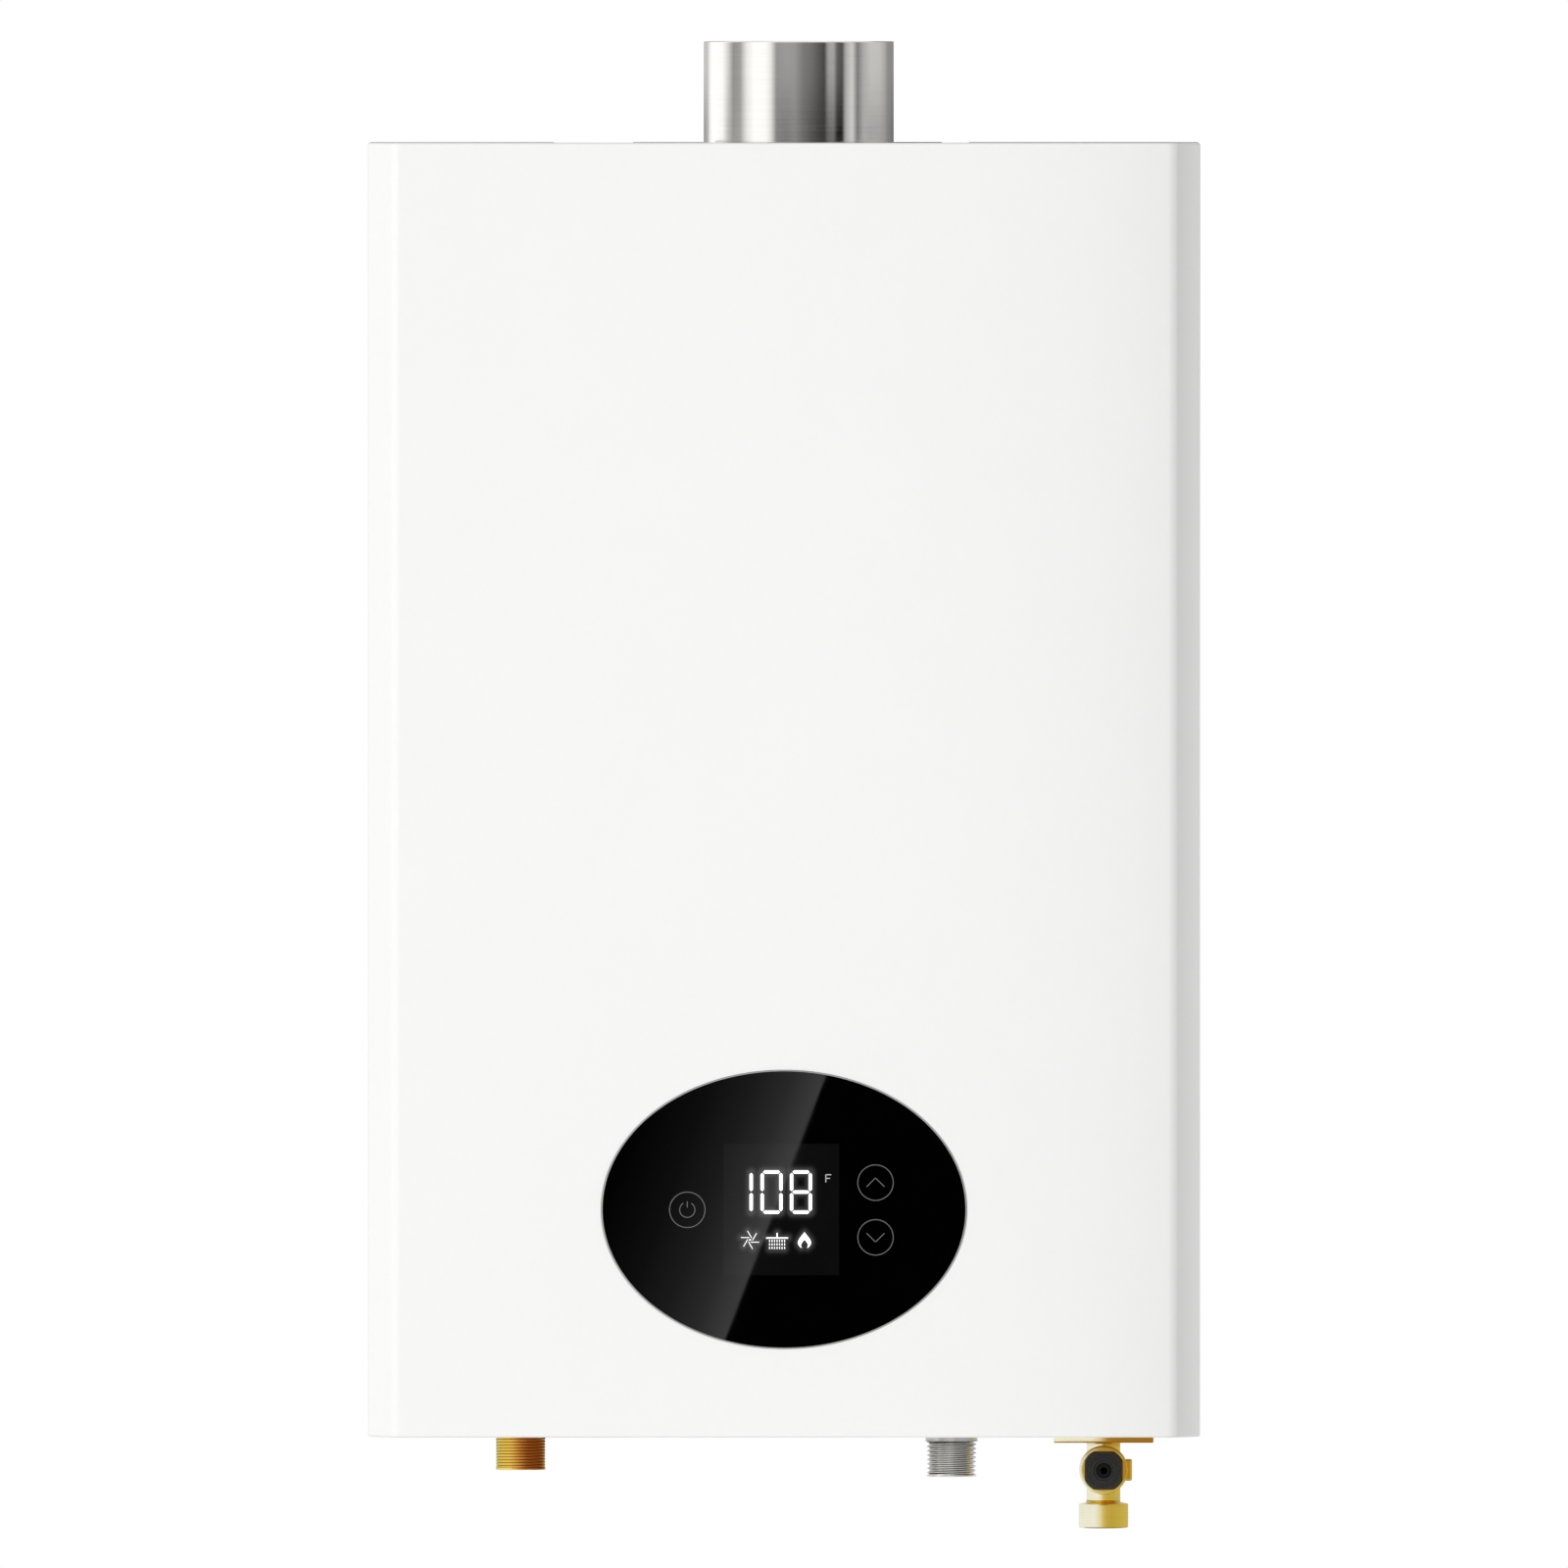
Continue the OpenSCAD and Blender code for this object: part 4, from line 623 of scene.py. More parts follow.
@dataclass
class Cabinet:
    """Folded front cover of the cabinet, with slanted strips along its upright edges."""

    slant_w: float = 11 * MM
    slant_d: float = 14 * MM
    front_bend: float = 5 * MM
    side_bend: float = 4 * MM
    bend_steps: int = 8
    edge_bend: float = 1.1 * MM
    edge_steps: int = 5
    sheet: float = 0.8 * MM
    lip_d: float = 28 * MM
    notch_x: Point = (-97 * MM, 78 * MM)
    notch_y: float = -111 * MM
    glass_gap: float = 0.2 * MM
    hole_steps: int = 160

    def build(self, shop: Workshop) -> None:
        """Fold the cover from a prism and dress it."""
        low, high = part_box("front_cover")
        blank = Blank()
        mesh = blank.mesh
        plan = [(low.x, high.y), (low.x, low.y + self.slant_d), (low.x + self.slant_w, low.y),
                (high.x - self.slant_w, low.y), (high.x, low.y + self.slant_d), (high.x, high.y)]
        rim = blank.outline([Vector((x, y, low.z)) for x, y in plan])
        blank.slab(rim, Vector((0, 0, high.z - low.z)))
        bmesh.ops.dissolve_limit(mesh, angle_limit=FLAT_ANGLE, verts=mesh.verts[:], edges=mesh.edges[:])
        self._bend(blank, low, high)
        self._open(blank, low, high)
        self._pierce(blank, low.y)
        cover = blank.piece("sheet_cover", closed=False, sheet=self.sheet)
        shop.dress(cover, Slot.COVER_PAINT, replaces=["front_cover"])

    def _bend(self, blank: Blank, low: Vector, high: Vector) -> None:
        """Round the upright folds, then the top and bottom edges.

        Args:
            blank: Prism of the cover.
            low: Lowest corner of the cover.
            high: Highest corner of the cover.
        """
        slant = math.atan2(self.slant_w, self.slant_d)
        folds = ((low.y + self.slant_d, self.side_bend * math.tan(slant / 2)),
                 (low.y, self.front_bend * math.tan((QUARTER_TURN - slant) / 2)))
        for y, width in folds:
            edges = [e for e in blank.mesh.edges if edge_rise(e) > self.edge_bend
                     and all(abs(v.co.y - y) < SAME_PLACE for v in e.verts)]
            blank.bevel(edges, width, self.bend_steps)
        rims = [e for e in blank.mesh.edges if edge_rise(e) < SAME_PLACE
                and not all(abs(v.co.y - high.y) < SAME_PLACE for v in e.verts)]
        blank.bevel(rims, self.edge_bend, self.edge_steps)

    def _open(self, blank: Blank, low: Vector, high: Vector) -> None:
        """Open the back, the floor and the flue notch.

        Args:
            blank: Bent prism of the cover.
            low: Lowest corner of the cover.
            high: Highest corner of the cover.
        """
        mesh = blank.mesh
        steep = 0.9
        back = [f for f in mesh.faces if f.normal.y > steep]
        bmesh.ops.delete(mesh, geom=back, context="FACES_ONLY")
        cuts = ((low.z, (0, low.y + self.lip_d), (0, 1)),
                (high.z, (0, self.notch_y), (0, 1)),
                (high.z, (self.notch_x[0], 0), (1, 0)),
                (high.z, (self.notch_x[1], 0), (1, 0)))
        for z, spot, normal in cuts:
            sheet = [f for f in mesh.faces if all(abs(v.co.z - z) < SAME_PLACE for v in f.verts)]
            rims = list(dict.fromkeys(e for f in sheet for e in f.edges))
            corners = list(dict.fromkeys(v for f in sheet for v in f.verts))
            bmesh.ops.bisect_plane(mesh, geom=sheet + rims + corners, dist=MERGE_REACH,
                                   plane_co=(*spot, z), plane_no=(*normal, 0))
        gone = []
        for f in mesh.faces:
            spot = f.calc_center_median()
            floor = abs(spot.z - low.z) < SAME_PLACE and spot.y > low.y + self.lip_d
            notch = (abs(spot.z - high.z) < SAME_PLACE and spot.y > self.notch_y
                     and self.notch_x[0] < spot.x < self.notch_x[1])
            if floor or notch:
                gone.append(f)
        bmesh.ops.delete(mesh, geom=gone, context="FACES")

    def _pierce(self, blank: Blank, front_y: float) -> None:
        """Cut the oval hole for the glass into the front.

        Args:
            blank: Bent and opened cover.
            front_y: Depth of its front.
        """
        mesh = blank.mesh
        panel = min(mesh.faces, key=lambda f: f.normal.y * f.calc_area())
        edges = list(panel.edges)
        bmesh.ops.delete(mesh, geom=[panel], context="FACES_ONLY")
        glass_low, glass_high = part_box("display_glass")
        centre = (glass_low + glass_high) / 2
        half = (glass_high - glass_low) / 2
        hole = blank.circle(Vector((0, front_y, 0)), 1.0, Axis.FRONT, self.hole_steps)
        verts = list(dict.fromkeys(v for e in hole for v in e.verts))
        bmesh.ops.scale(mesh, vec=(half.x + self.glass_gap, 1, half.z + self.glass_gap), verts=verts)
        bmesh.ops.translate(mesh, vec=(centre.x, 0, centre.z), verts=verts)
        blank.fill(edges + hole, Axis.FRONT.along)


@dataclass
class Screw:
    """Countersunk screw with a cross recess, flush at its head.

    Attributes:
        spot: Centre of the head's face.
        length: Length of the screw.
        up: Whether the head faces up.
    """

    spot: Vector
    length: float
    up: bool
    head_r: float = 3 * MM
    head_steps: int = 36
    shank_r: float = 1.6 * MM
    arm: float = 1.7 * MM
    slot_w: float = 0.5 * MM
    sink: float = 0.9 * MM
    sink_taper: float = 0.6

    def add(self, blank: Blank) -> None:
        """Add the screw to a blank."""
        mesh = blank.mesh
        before = set(mesh.verts)
        half = self.slot_w / 2
        quarter = [(self.arm, -half), (self.arm, half), (half, half)]
        cross = [Matrix.Rotation(QUARTER_TURN * i, 2) @ Vector(p) for i in range(4) for p in quarter]
        rim = blank.circle(Vector(), self.head_r, Axis.UP, self.head_steps)
        pit = blank.outline([p.to_3d() for p in cross])
        blank.fill(rim + pit)
        self._grow(blank, pit, [(self.sink_taper, -self.sink)])
        cone_h = self.head_r - self.shank_r
        self._grow(blank, rim, [(self.shank_r / self.head_r, -cone_h), (1.0, cone_h - self.length)])
        verts = [v for v in mesh.verts if v not in before]
        bmesh.ops.scale(mesh, vec=(1, 1, 1 if self.up else -1), verts=verts)
        bmesh.ops.translate(mesh, vec=self.spot, verts=verts)

    @staticmethod
    def _grow(blank: Blank, edges: Sequence[BMEdge], steps: Sequence[Point]) -> None:
        """Extrude a loop in steps and close it.

        Args:
            blank: Mesh in the making.
            edges: Loop to extrude.
            steps: Pairs of scale and rise for each step.
        """
        loop = list(edges)
        for scale, rise in steps:
            grown = bmesh.ops.extrude_edge_only(blank.mesh, edges=loop)["geom"]
            verts = [g for g in grown if isinstance(g, BMVert)]
            loop = [g for g in grown if isinstance(g, BMEdge)]
            bmesh.ops.scale(blank.mesh, vec=(scale, scale, 1), verts=verts)
            bmesh.ops.translate(blank.mesh, vec=(0, 0, rise), verts=verts)
        blank.fill(loop)


@dataclass
class Flue:
    """Polished flue collar with its base plate and screws."""

    radius: float = 40 * MM
    wall: float = 0.9 * MM
    rim_steps: int = 5
    steps: int = 160
    plate: float = 1 * MM
    screw_inset: float = 7 * MM
    screw_l: float = 9 * MM
    screw_hole_r: float = 3.2 * MM
    screw_hole_steps: int = 32
    seam_r: float = 0.6 * MM
    seam_sink: float = 0.2 * MM
    seam_flat: float = 0.6
    seam_steps: int = 24

    def build(self, shop: Workshop) -> None:
        """Roll the collar, weld its seam and add the plate with its screws."""
        low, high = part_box("flue_collar")
        centre = Vector((COLLAR_X, (low.y + high.y) / 2, 0))
        plate_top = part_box("collar_screws")[1].z
        rim_r = self.wall / 2
        top = (self.radius - rim_r, high.z - rim_r)
        rim = rounded(top, rim_r, 0, self.rim_steps) + rounded(top, rim_r, 90, self.rim_steps)[1:]
        foot = [(self.radius - self.wall, low.z), (self.radius, low.z)]
        spots = self._screw_spots(low, high, plate_top)
        blank = Blank()
        blank.turn(foot + rim, centre, Axis.UP, self.steps)
        edges = blank.outline([Vector((x, y, plate_top)) for x, y in
                               ((low.x, low.y), (high.x, low.y), (high.x, high.y), (low.x, high.y))])
        edges += blank.circle(centre + Vector((0, 0, plate_top)), self.radius - rim_r, Axis.UP, self.steps)
        for spot in spots:
            edges += blank.circle(spot, self.screw_hole_r, Axis.UP, self.screw_hole_steps)
        blank.slab(edges, Vector((0, 0, -self.plate)))
        shop.dress(blank.piece("flue_pipe"), Slot.STAINLESS, replaces=["flue_collar"])
        self._weld(shop, centre, plate_top, high.z - 2 * rim_r)
        heads = Blank()
        for spot in spots:
            Screw(spot, self.screw_l, up=True).add(heads)
        shop.dress(heads.piece("collar_screw_set"), Slot.SCREW_STEEL, replaces=["collar_screws"])

    def _screw_spots(self, low: Vector, high: Vector, z: float) -> list[Vector]:
        """Return the four screw places in the plate's corners."""
        return [Vector((x, y, z)) for x in (low.x + self.screw_inset, high.x - self.screw_inset)
                for y in (low.y + self.screw_inset, high.y - self.screw_inset)]

    def _weld(self, shop: Workshop, centre: Vector, low_z: float, high_z: float) -> None:
        """Lay the flattened weld bead down the back of the collar.

        Args:
            shop: Workshop that dresses the bead.
            centre: Point on the collar's axis.
            low_z: Lower end of the bead.
            high_z: Upper end of the bead.
        """
        blank = Blank()
        spot = centre + Vector((0, self.radius - self.seam_sink, 0))
        bead = [(0, low_z), (self.seam_r, low_z + self.seam_r), (self.seam_r, high_z - self.seam_r),
                (0, high_z)]
        verts = blank.turn(bead, spot, Axis.UP, self.seam_steps, ring=False)
        bmesh.ops.scale(blank.mesh, vec=(1, self.seam_flat, 1), verts=verts, space=Matrix.Translation(-spot))
        shop.dress(blank.piece("flue_seam"), Slot.STAINLESS)


@dataclass(frozen=True)
class Stroke:
    """A straight mark on the panel, in millimetres from the glass centre.

    Attributes:
        start: Start of its middle line.
        end: End of its middle line.
        width: Width across.
        tip: Length of the pointed ends, as a share of the width.
    """

    start: Point
    end: Point
    width: float
    tip: float = 0.0

    def outline(self) -> list[Point]:
        """Return the corners of the mark."""
        a, b = Vector(self.start), Vector(self.end)
        along = (b - a).normalized()
        side = Vector((-along.y, along.x)) * self.width / 2
        point = along * self.width * self.tip
        if not self.tip:
            return [tuple(p) for p in (a - side, b - side, b + side, a + side)]
        lower = (a, a + point - side, b - point - side)
        upper = (b, b - point + side, a + point + side)
        return [tuple(p) for p in lower + upper]

    def distance(self, spot: Point) -> float:
        """Return the distance of a spot from the mark's edge."""
        a, b, p = Vector(self.start), Vector(self.end), Vector(spot)
        share = min(1.0, max(0.0, (p - a).dot(b - a) / (b - a).length_squared))
        return max(0.0, (p - a - (b - a) * share).length - self.width / 2)


class Segment(Enum):
    """Bars of a seven-bar figure, as ends on a grid of 2 columns and 3 rows."""

    TOP = ((0, 2), (1, 2))
    MIDDLE = ((0, 1), (1, 1))
    BOTTOM = ((0, 0), (1, 0))
    UPPER_LEFT = ((0, 1), (0, 2))
    UPPER_RIGHT = ((1, 1), (1, 2))
    LOWER_LEFT = ((0, 0), (0, 1))
    LOWER_RIGHT = ((1, 0), (1, 1))


@dataclass
class Figures:
    """Three seven-bar figures of a set temperature, in millimetres from the glass centre."""

    left_x: tuple[float, float, float] = (-22.37, -9.88, 2.46)
    width: float = 9.29
    low: float = -1.81
    high: float = 16.48
    bar_w: float = 1.42
    bar_gap: float = 0.34
    bar_tip: float = 0.5

    def strokes(self) -> dict[str, list[Stroke]]:
        """Return the lit bars of each figure."""
        one = (Segment.UPPER_RIGHT, Segment.LOWER_RIGHT)
        nought = tuple(bar for bar in Segment if bar is not Segment.MIDDLE)
        lit = {"figure_hundreds": one, "figure_tens": nought, "figure_units": tuple(Segment)}
        return {name: self._figure(left, bars) for left, (name, bars) in zip(self.left_x, lit.items())}

    def _figure(self, left: float, bars: Sequence[Segment]) -> list[Stroke]:
        """Return the strokes of one figure.

        Args:
            left: Left edge of the figure.
            bars: Bars that are lit.

        Returns:
            One stroke per bar.
        """
        half = self.bar_w / 2
        columns = (left + half, left + self.width - half)
        rows = (self.low + half, (self.low + self.high) / 2, self.high - half)
        strokes = []
        for bar in bars:
            a, b = (Vector((columns[c], rows[r])) for c, r in bar.value)
            step = (b - a).normalized() * self.bar_gap
            strokes.append(Stroke(tuple(a + step), tuple(b - step), self.bar_w, self.bar_tip))
        return strokes


@dataclass
class UnitMark:
    """Small degree letter beside the figures, in millimetres from the glass centre."""

    left: float = 17.4
    right: float = 19.8
    low: float = 11.4
    high: float = 14.8
    line: float = 0.36
    short: float = 0.5

    def strokes(self) -> list[Stroke]:
        """Return the stem and the two arms of the letter."""
        half = self.line / 2
        middle = (self.low + self.high) / 2
        return [Stroke((self.left + half, self.low), (self.left + half, self.high), self.line),
                Stroke((self.left, self.high - half), (self.right, self.high - half), self.line),
                Stroke((self.left, middle), (self.right - self.short, middle), self.line)]


@dataclass
class FanSign:
    """Sign of a fan wheel, in millimetres from the glass centre."""

    centre: Point = (-14.27, -12.76)
    hub_r: float = 0.42
    hub_tip: float = 0.3
    blades: int = 6
    blade_offset: float = 0.97
    blade_reach: Point = (0.3, 3.8)
    blade_w: float = 0.26
    blade_tip: float = 0.13

    def strokes(self) -> list[Stroke]:
        """Return the hub and the blades."""
        centre = Vector(self.centre)
        hub = Vector((self.hub_r, 0))
        strokes = [Stroke(tuple(centre - hub), tuple(centre + hub), 2 * self.hub_r, self.hub_tip)]
        for i in range(self.blades):
            turn = FULL_TURN * i / self.blades
            along = Vector((math.cos(turn), math.sin(turn)))
            foot = centre + Vector((along.y, -along.x)) * self.blade_offset
            start, end = (tuple(foot + along * reach) for reach in self.blade_reach)
            strokes.append(Stroke(start, end, self.blade_w, self.blade_tip))
        return strokes


@dataclass
class ShowerSign:
    """Sign of a shower head, in millimetres from the glass centre."""

    x: float = -2.9
    head_half: float = 4.65
    head_z: float = -11.98
    head_w: float = 0.58
    head_tip: float = 0.2
    stem_z: Point = (-9.85, -11.7)
    stem_w: float = 0.48
    columns: int = 7
    rows: int = 3
    first_drop: Point = (-3.15, -13.2)
    drop_step: Point = (1.05, -1.47)
    drop_half: float = 0.5
    drop_w: float = 0.36
    drop_tip: float = 0.25

    def strokes(self) -> list[Stroke]:
        """Return the head, the stem and the drops."""
        left, right = (self.x - self.head_half, self.head_z), (self.x + self.head_half, self.head_z)
        top, bottom = ((self.x, z) for z in self.stem_z)
        strokes = [Stroke(left, right, self.head_w, self.head_tip), Stroke(top, bottom, self.stem_w)]
        half = Vector((0, self.drop_half))
        for column in range(self.columns):
            for row in range(self.rows):
                spot = Vector((self.x + self.first_drop[0] + self.drop_step[0] * column,
                               self.first_drop[1] + self.drop_step[1] * row))
                strokes.append(Stroke(tuple(spot + half), tuple(spot - half), self.drop_w, self.drop_tip))
        return strokes


@dataclass
class FlameSign:
    """Sign of a flame, open at the bottom, in millimetres from the glass centre.

    Attributes:
        tip: Place of the flame's tip.
        scale: Size of the sign.
        line: Width of the line that its glow spreads from.
        outer: Right half of the outer outline, from the tip down.
        inner: Right half of the inner outline, back up to its top.
    """

    tip: Point = (8.6, -9.51)
    scale: float = 0.93
    line: float = 0.1
    outer: tuple[Point, ...] = (
        (0.0, 0.0), (0.75, -0.95), (1.5, -1.9), (2.3, -2.95), (2.85, -3.95), (3.02, -4.75), (2.8, -5.65),
        (2.2, -6.5), (1.35, -7.15))
    inner: tuple[Point, ...] = (
        (1.2, -6.95), (1.55, -6.35), (1.62, -5.75), (1.35, -5.05), (0.65, -4.1), (0.0, -3.37))

    def outline(self) -> list[Point]:
        """Return the outline of both halves."""
        right = self.outer + self.inner
        left = tuple((-x, z) for x, z in reversed(right[1:-1]))
        return [(self.tip[0] + self.scale * x, self.tip[1] + self.scale * z) for x, z in right + left]

    def strokes(self) -> list[Stroke]:
        """Return thin strokes along the outline."""
        corners = self.outline()
        return [Stroke(a, b, self.line) for a, b in zip(corners, corners[1:])]


@dataclass
class TouchPanel:
    """Oval glass with its ground edge, lit display and printed touch keys.

    The sizes of the keys are in millimetres, as the marks' are.
    """

    edge_w: float = 0.5 * MM
    edge_flat: float = 0.12 * MM
    oval_steps: int = 192
    mark_t: float = 0.1 * MM
    film_t: float = 0.05 * MM
    film_cell: float = 0.8 * MM
    window: Point = (48.6 * MM, 55.2 * MM)
    window_x: float = -1.1 * MM
    glow_reach: float = 1.3
    glow_share: float = 0.05
    key_r: float = 7.45
    key_line: float = 0.33
    key_steps: int = 72
    up_key: Point = (38.46, 11.3)
    down_key: Point = (38.46, -11.7)
    arrow_tip: float = 1.95
    arrow_end: Point = (3.75, -1.75)
    arrow_join: Point = (0.09, -0.08)
    power_key: Point = (-40.64, -0.12)
    power_r: float = 3.2
    power_gap_deg: float = 62
    power_bar: Point = (0.9, 3.5)

    def __post_init__(self) -> None:
        """Take the place of the glass from the frame."""
        low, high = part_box("display_glass")
        self.half = (high - low) / 2
        self.centre = Vector(((low.x + high.x) / 2, 0, (low.z + high.z) / 2))
        self.mark_y = low.y
        self.front_y = low.y + self.mark_t
        self.back_y = high.y

    def build(self, shop: Workshop) -> None:
        """Build the glass and everything on it."""
        self._glass(shop)
        lit = Figures().strokes()
        lit["fan_sign"] = FanSign().strokes()
        lit["shower_sign"] = ShowerSign().strokes()
        for name, strokes in lit.items():
            self._marks(shop, name, [s.outline() for s in strokes], LIT_MARK)
        self._marks(shop, "unit_mark", [s.outline() for s in UnitMark().strokes()], DIM_MARK)
        flame = FlameSign()
        self._marks(shop, "flame_sign", [flame.outline()], LIT_MARK)
        sources = [s for strokes in lit.values() for s in strokes] + flame.strokes()
        self._film(shop, sources)
        self._keys(shop)

    def _glass(self, shop: Workshop) -> None:
        """Build the glass and its ground edge."""
        glass_r, edge_r = self.half.x - self.edge_w, self.half.x
        front, back = -self.front_y, -self.back_y
        body = self._oval([(0, back), (glass_r, back), (glass_r, front), (0, front)], ring=False)
        shop.dress(body.piece("panel_glass"), Slot.BLACK_GLASS, replaces=["display_glass"])
        edge = self._oval([(glass_r, back), (edge_r, back), (edge_r, front - self.edge_w),
                           (glass_r + self.edge_flat, front), (glass_r, front)], ring=True)
        shop.dress(edge.piece("panel_glass_edge"), Slot.BLACK_GLASS, GROUND_EDGE)

    def _oval(self, profile: Sequence[Point], ring: bool) -> Blank:
        """Turn a profile round the glass centre and press it to the glass's oval.

        Args:
            profile: Pairs of radius and distance to the front.
            ring: Whether the profile closes on itself.

        Returns:
            The blank with the oval.
        """
        blank = Blank()
        verts = blank.turn(profile, self.centre, Axis.FRONT, self.oval_steps, ring)
        bmesh.ops.scale(blank.mesh, vec=(1, 1, self.half.z / self.half.x), verts=verts,
                        space=Matrix.Translation(-self.centre))
        return blank

    def _spot(self, point: Point, y: float) -> Vector:
        """Return the place of a panel point at a depth."""
        return Vector((self.centre.x + point[0] * MM, y, self.centre.z + point[1] * MM))

    def _lay(self, blank: Blank, corners: Sequence[Point]) -> None:
        """Lay one flat mark on the glass."""
        edges = blank.outline([self._spot(p, self.front_y) for p in corners])
        blank.slab(edges, Vector((0, self.mark_y - self.front_y, 0)))

    def _marks(self, shop: Workshop, name: str, outlines: Sequence[Sequence[Point]], finish: Finish) -> None:
        """Make a piece of some flat marks.

        Args:
            shop: Workshop that dresses them.
            name: Name of the piece.
            outlines: Corners of each mark.
            finish: Finish of the marks.
        """
        blank = Blank()
        for corners in outlines:
            self._lay(blank, corners)
        shop.dress(blank.piece(name), Slot.DISPLAY_DARK, finish)

    def _film(self, shop: Workshop, strokes: Sequence[Stroke]) -> None:
        """Lay the display window on the glass, with the glow of the lit marks.

        Args:
            shop: Workshop that dresses it.
            strokes: Lit marks.
        """
        width, height = self.window
        blank = Blank()
        mesh = blank.mesh
        face = Matrix.Translation(self.centre + Vector((self.window_x, self.front_y, 0)))
        face = face @ Matrix.Rotation(QUARTER_TURN, 4, "X") @ Matrix.Diagonal((width, height, 1, 1))
        bmesh.ops.create_grid(mesh, x_segments=round(width / self.film_cell),
                              y_segments=round(height / self.film_cell), size=0.5, matrix=face)
        blank.thicken(mesh.faces[:], Vector((0, -self.film_t, 0)))
        glow = mesh.verts.layers.float.new(GLOW)
        for v in mesh.verts:
            spot = ((v.co.x - self.centre.x) / MM, (v.co.z - self.centre.z) / MM)
            near = min(s.distance(spot) for s in strokes)
            v[glow] = self.glow_share * math.exp(-((near / self.glow_reach) ** 2))
        shop.dress(blank.piece("display_film"), Slot.DISPLAY_DARK, LIT_FILM)

    def _ring(self, blank: Blank, centre: Point, radius: float, gap_deg: float = 0.0) -> None:
        """Print a thin ring, with a gap at its top if asked.

        Args:
            blank: Mesh in the making.
            centre: Centre of the ring.
            radius: Radius of its middle line.
            gap_deg: Angle of the gap.
        """
        start = math.radians(90 + gap_deg / 2)
        foot = self._spot(centre, self.front_y)
        across = Vector((math.cos(start), 0, math.sin(start)))
        outer, inner = (radius + self.key_line / 2) * MM, (radius - self.key_line / 2) * MM
        section = ((outer, self.front_y), (inner, self.front_y), (inner, self.mark_y), (outer, self.mark_y))
        edges = blank.outline([foot + across * r + Vector((0, y - self.front_y, 0)) for r, y in section])
        verts = list(dict.fromkeys(v for e in edges for v in e.verts))
        ends = bmesh.ops.contextual_create(blank.mesh, geom=edges)["faces"] if gap_deg else []
        bmesh.ops.spin(blank.mesh, geom=verts + edges + ends, cent=foot, axis=Axis.FRONT.along,
                       angle=math.radians(360 - gap_deg), steps=self.key_steps, use_merge=not gap_deg)

    def _keys(self, shop: Workshop) -> None:
        """Print the two arrow keys and the power key."""
        for name, centre, way in (("key_up", self.up_key, 1), ("key_down", self.down_key, -1)):
            blank = Blank()
            self._ring(blank, centre, self.key_r)
            tip = Vector(centre) + Vector((0, self.arrow_tip * way))
            for side in (-1, 1):
                turned = Vector((side, way))
                end = Vector(centre) + Vector(self.arrow_end) * turned
                foot = tip + Vector(self.arrow_join) * turned
                self._lay(blank, Stroke(tuple(foot), tuple(end), self.key_line).outline())
            shop.dress(blank.piece(name), Slot.DISPLAY_DARK, KEY_PRINT)
        blank = Blank()
        self._ring(blank, self.power_key, self.key_r)
        self._ring(blank, self.power_key, self.power_r, self.power_gap_deg)
        x, z = self.power_key
        start, end = ((x, z + rise) for rise in self.power_bar)
        self._lay(blank, Stroke(start, end, self.key_line).outline())
        shop.dress(blank.piece("key_power"), Slot.DISPLAY_DARK, KEY_PRINT)


@dataclass
class PipeThread:
    """Outside pipe thread on an upright axis.

    Attributes:
        radius: Radius over the crests.
        depth: Depth of the groove.
        low: Lower end.
        high: Upper end.
        pitch: Rise per turn.
        flat: Share of a turn that the crest takes, and the root too.
        rows: Mesh rows per turn.
    """

    radius: float
    depth: float
    low: float
    high: float
    pitch: float = 1.814 * MM
    flat: float = 0.25
    rows: int = 16

    def profile(self) -> list[Point]:
        """Return the wall's points from the lower to the upper end, both at the groove's root."""
        step = self.pitch / self.rows
        count = math.floor((self.high - self.low) / step)
        root = self.radius - self.depth
        wall = [(self.radius, self.low + step * i) for i in range(1, count)]
        return [(root, self.low)] + wall + [(root, self.high)]

    def cut(self, blank: Blank, verts: Sequence[BMVert], centre: Vector) -> None:
        """Sink the helical groove into a turned wall, with the mesh rows along the helix.

        Args:
            blank: Mesh in the making.
            verts: Vertices of the turned piece.
            centre: Point on the thread's axis.
        """
        walls = []
        for v in verts:
            out = Vector((v.co.x - centre.x, v.co.y - centre.y))
            between = self.low + SAME_PLACE < v.co.z < self.high - SAME_PLACE
            if abs(out.length - self.radius) > SAME_PLACE or not between:
                continue
            way = math.atan2(out.y, out.x) / FULL_TURN % 1.0
            v.co.z += self.pitch / self.rows * (way * self.rows % 1.0)
            turn = ((v.co.z - self.low) / self.pitch - way) % 1.0
            # Half a turn is the middle of the groove, and a flank's middle is a quarter turn from it.
            groove = min(1.0, max(0.0, 0.5 + (0.25 - abs(turn - 0.5)) / (0.5 - self.flat)))
            sink = 1 - self.depth * groove / self.radius
            v.co.x = centre.x + out.x * sink
            v.co.y = centre.y + out.y * sink
            walls.extend(v.link_faces)
        bmesh.ops.triangulate(blank.mesh, faces=list(dict.fromkeys(walls)), quad_method="SHORT_EDGE")


def pipe_lip(bore: float, low_z: float) -> list[Point]:
    """Return the profile of a pipe's lower end, from its bore to the foot of its thread."""
    return [(bore, low_z), (THREAD_R - LIP_EDGE, low_z), (THREAD_R, low_z + LIP_EDGE),
            (THREAD_R, low_z + LIP_H)]


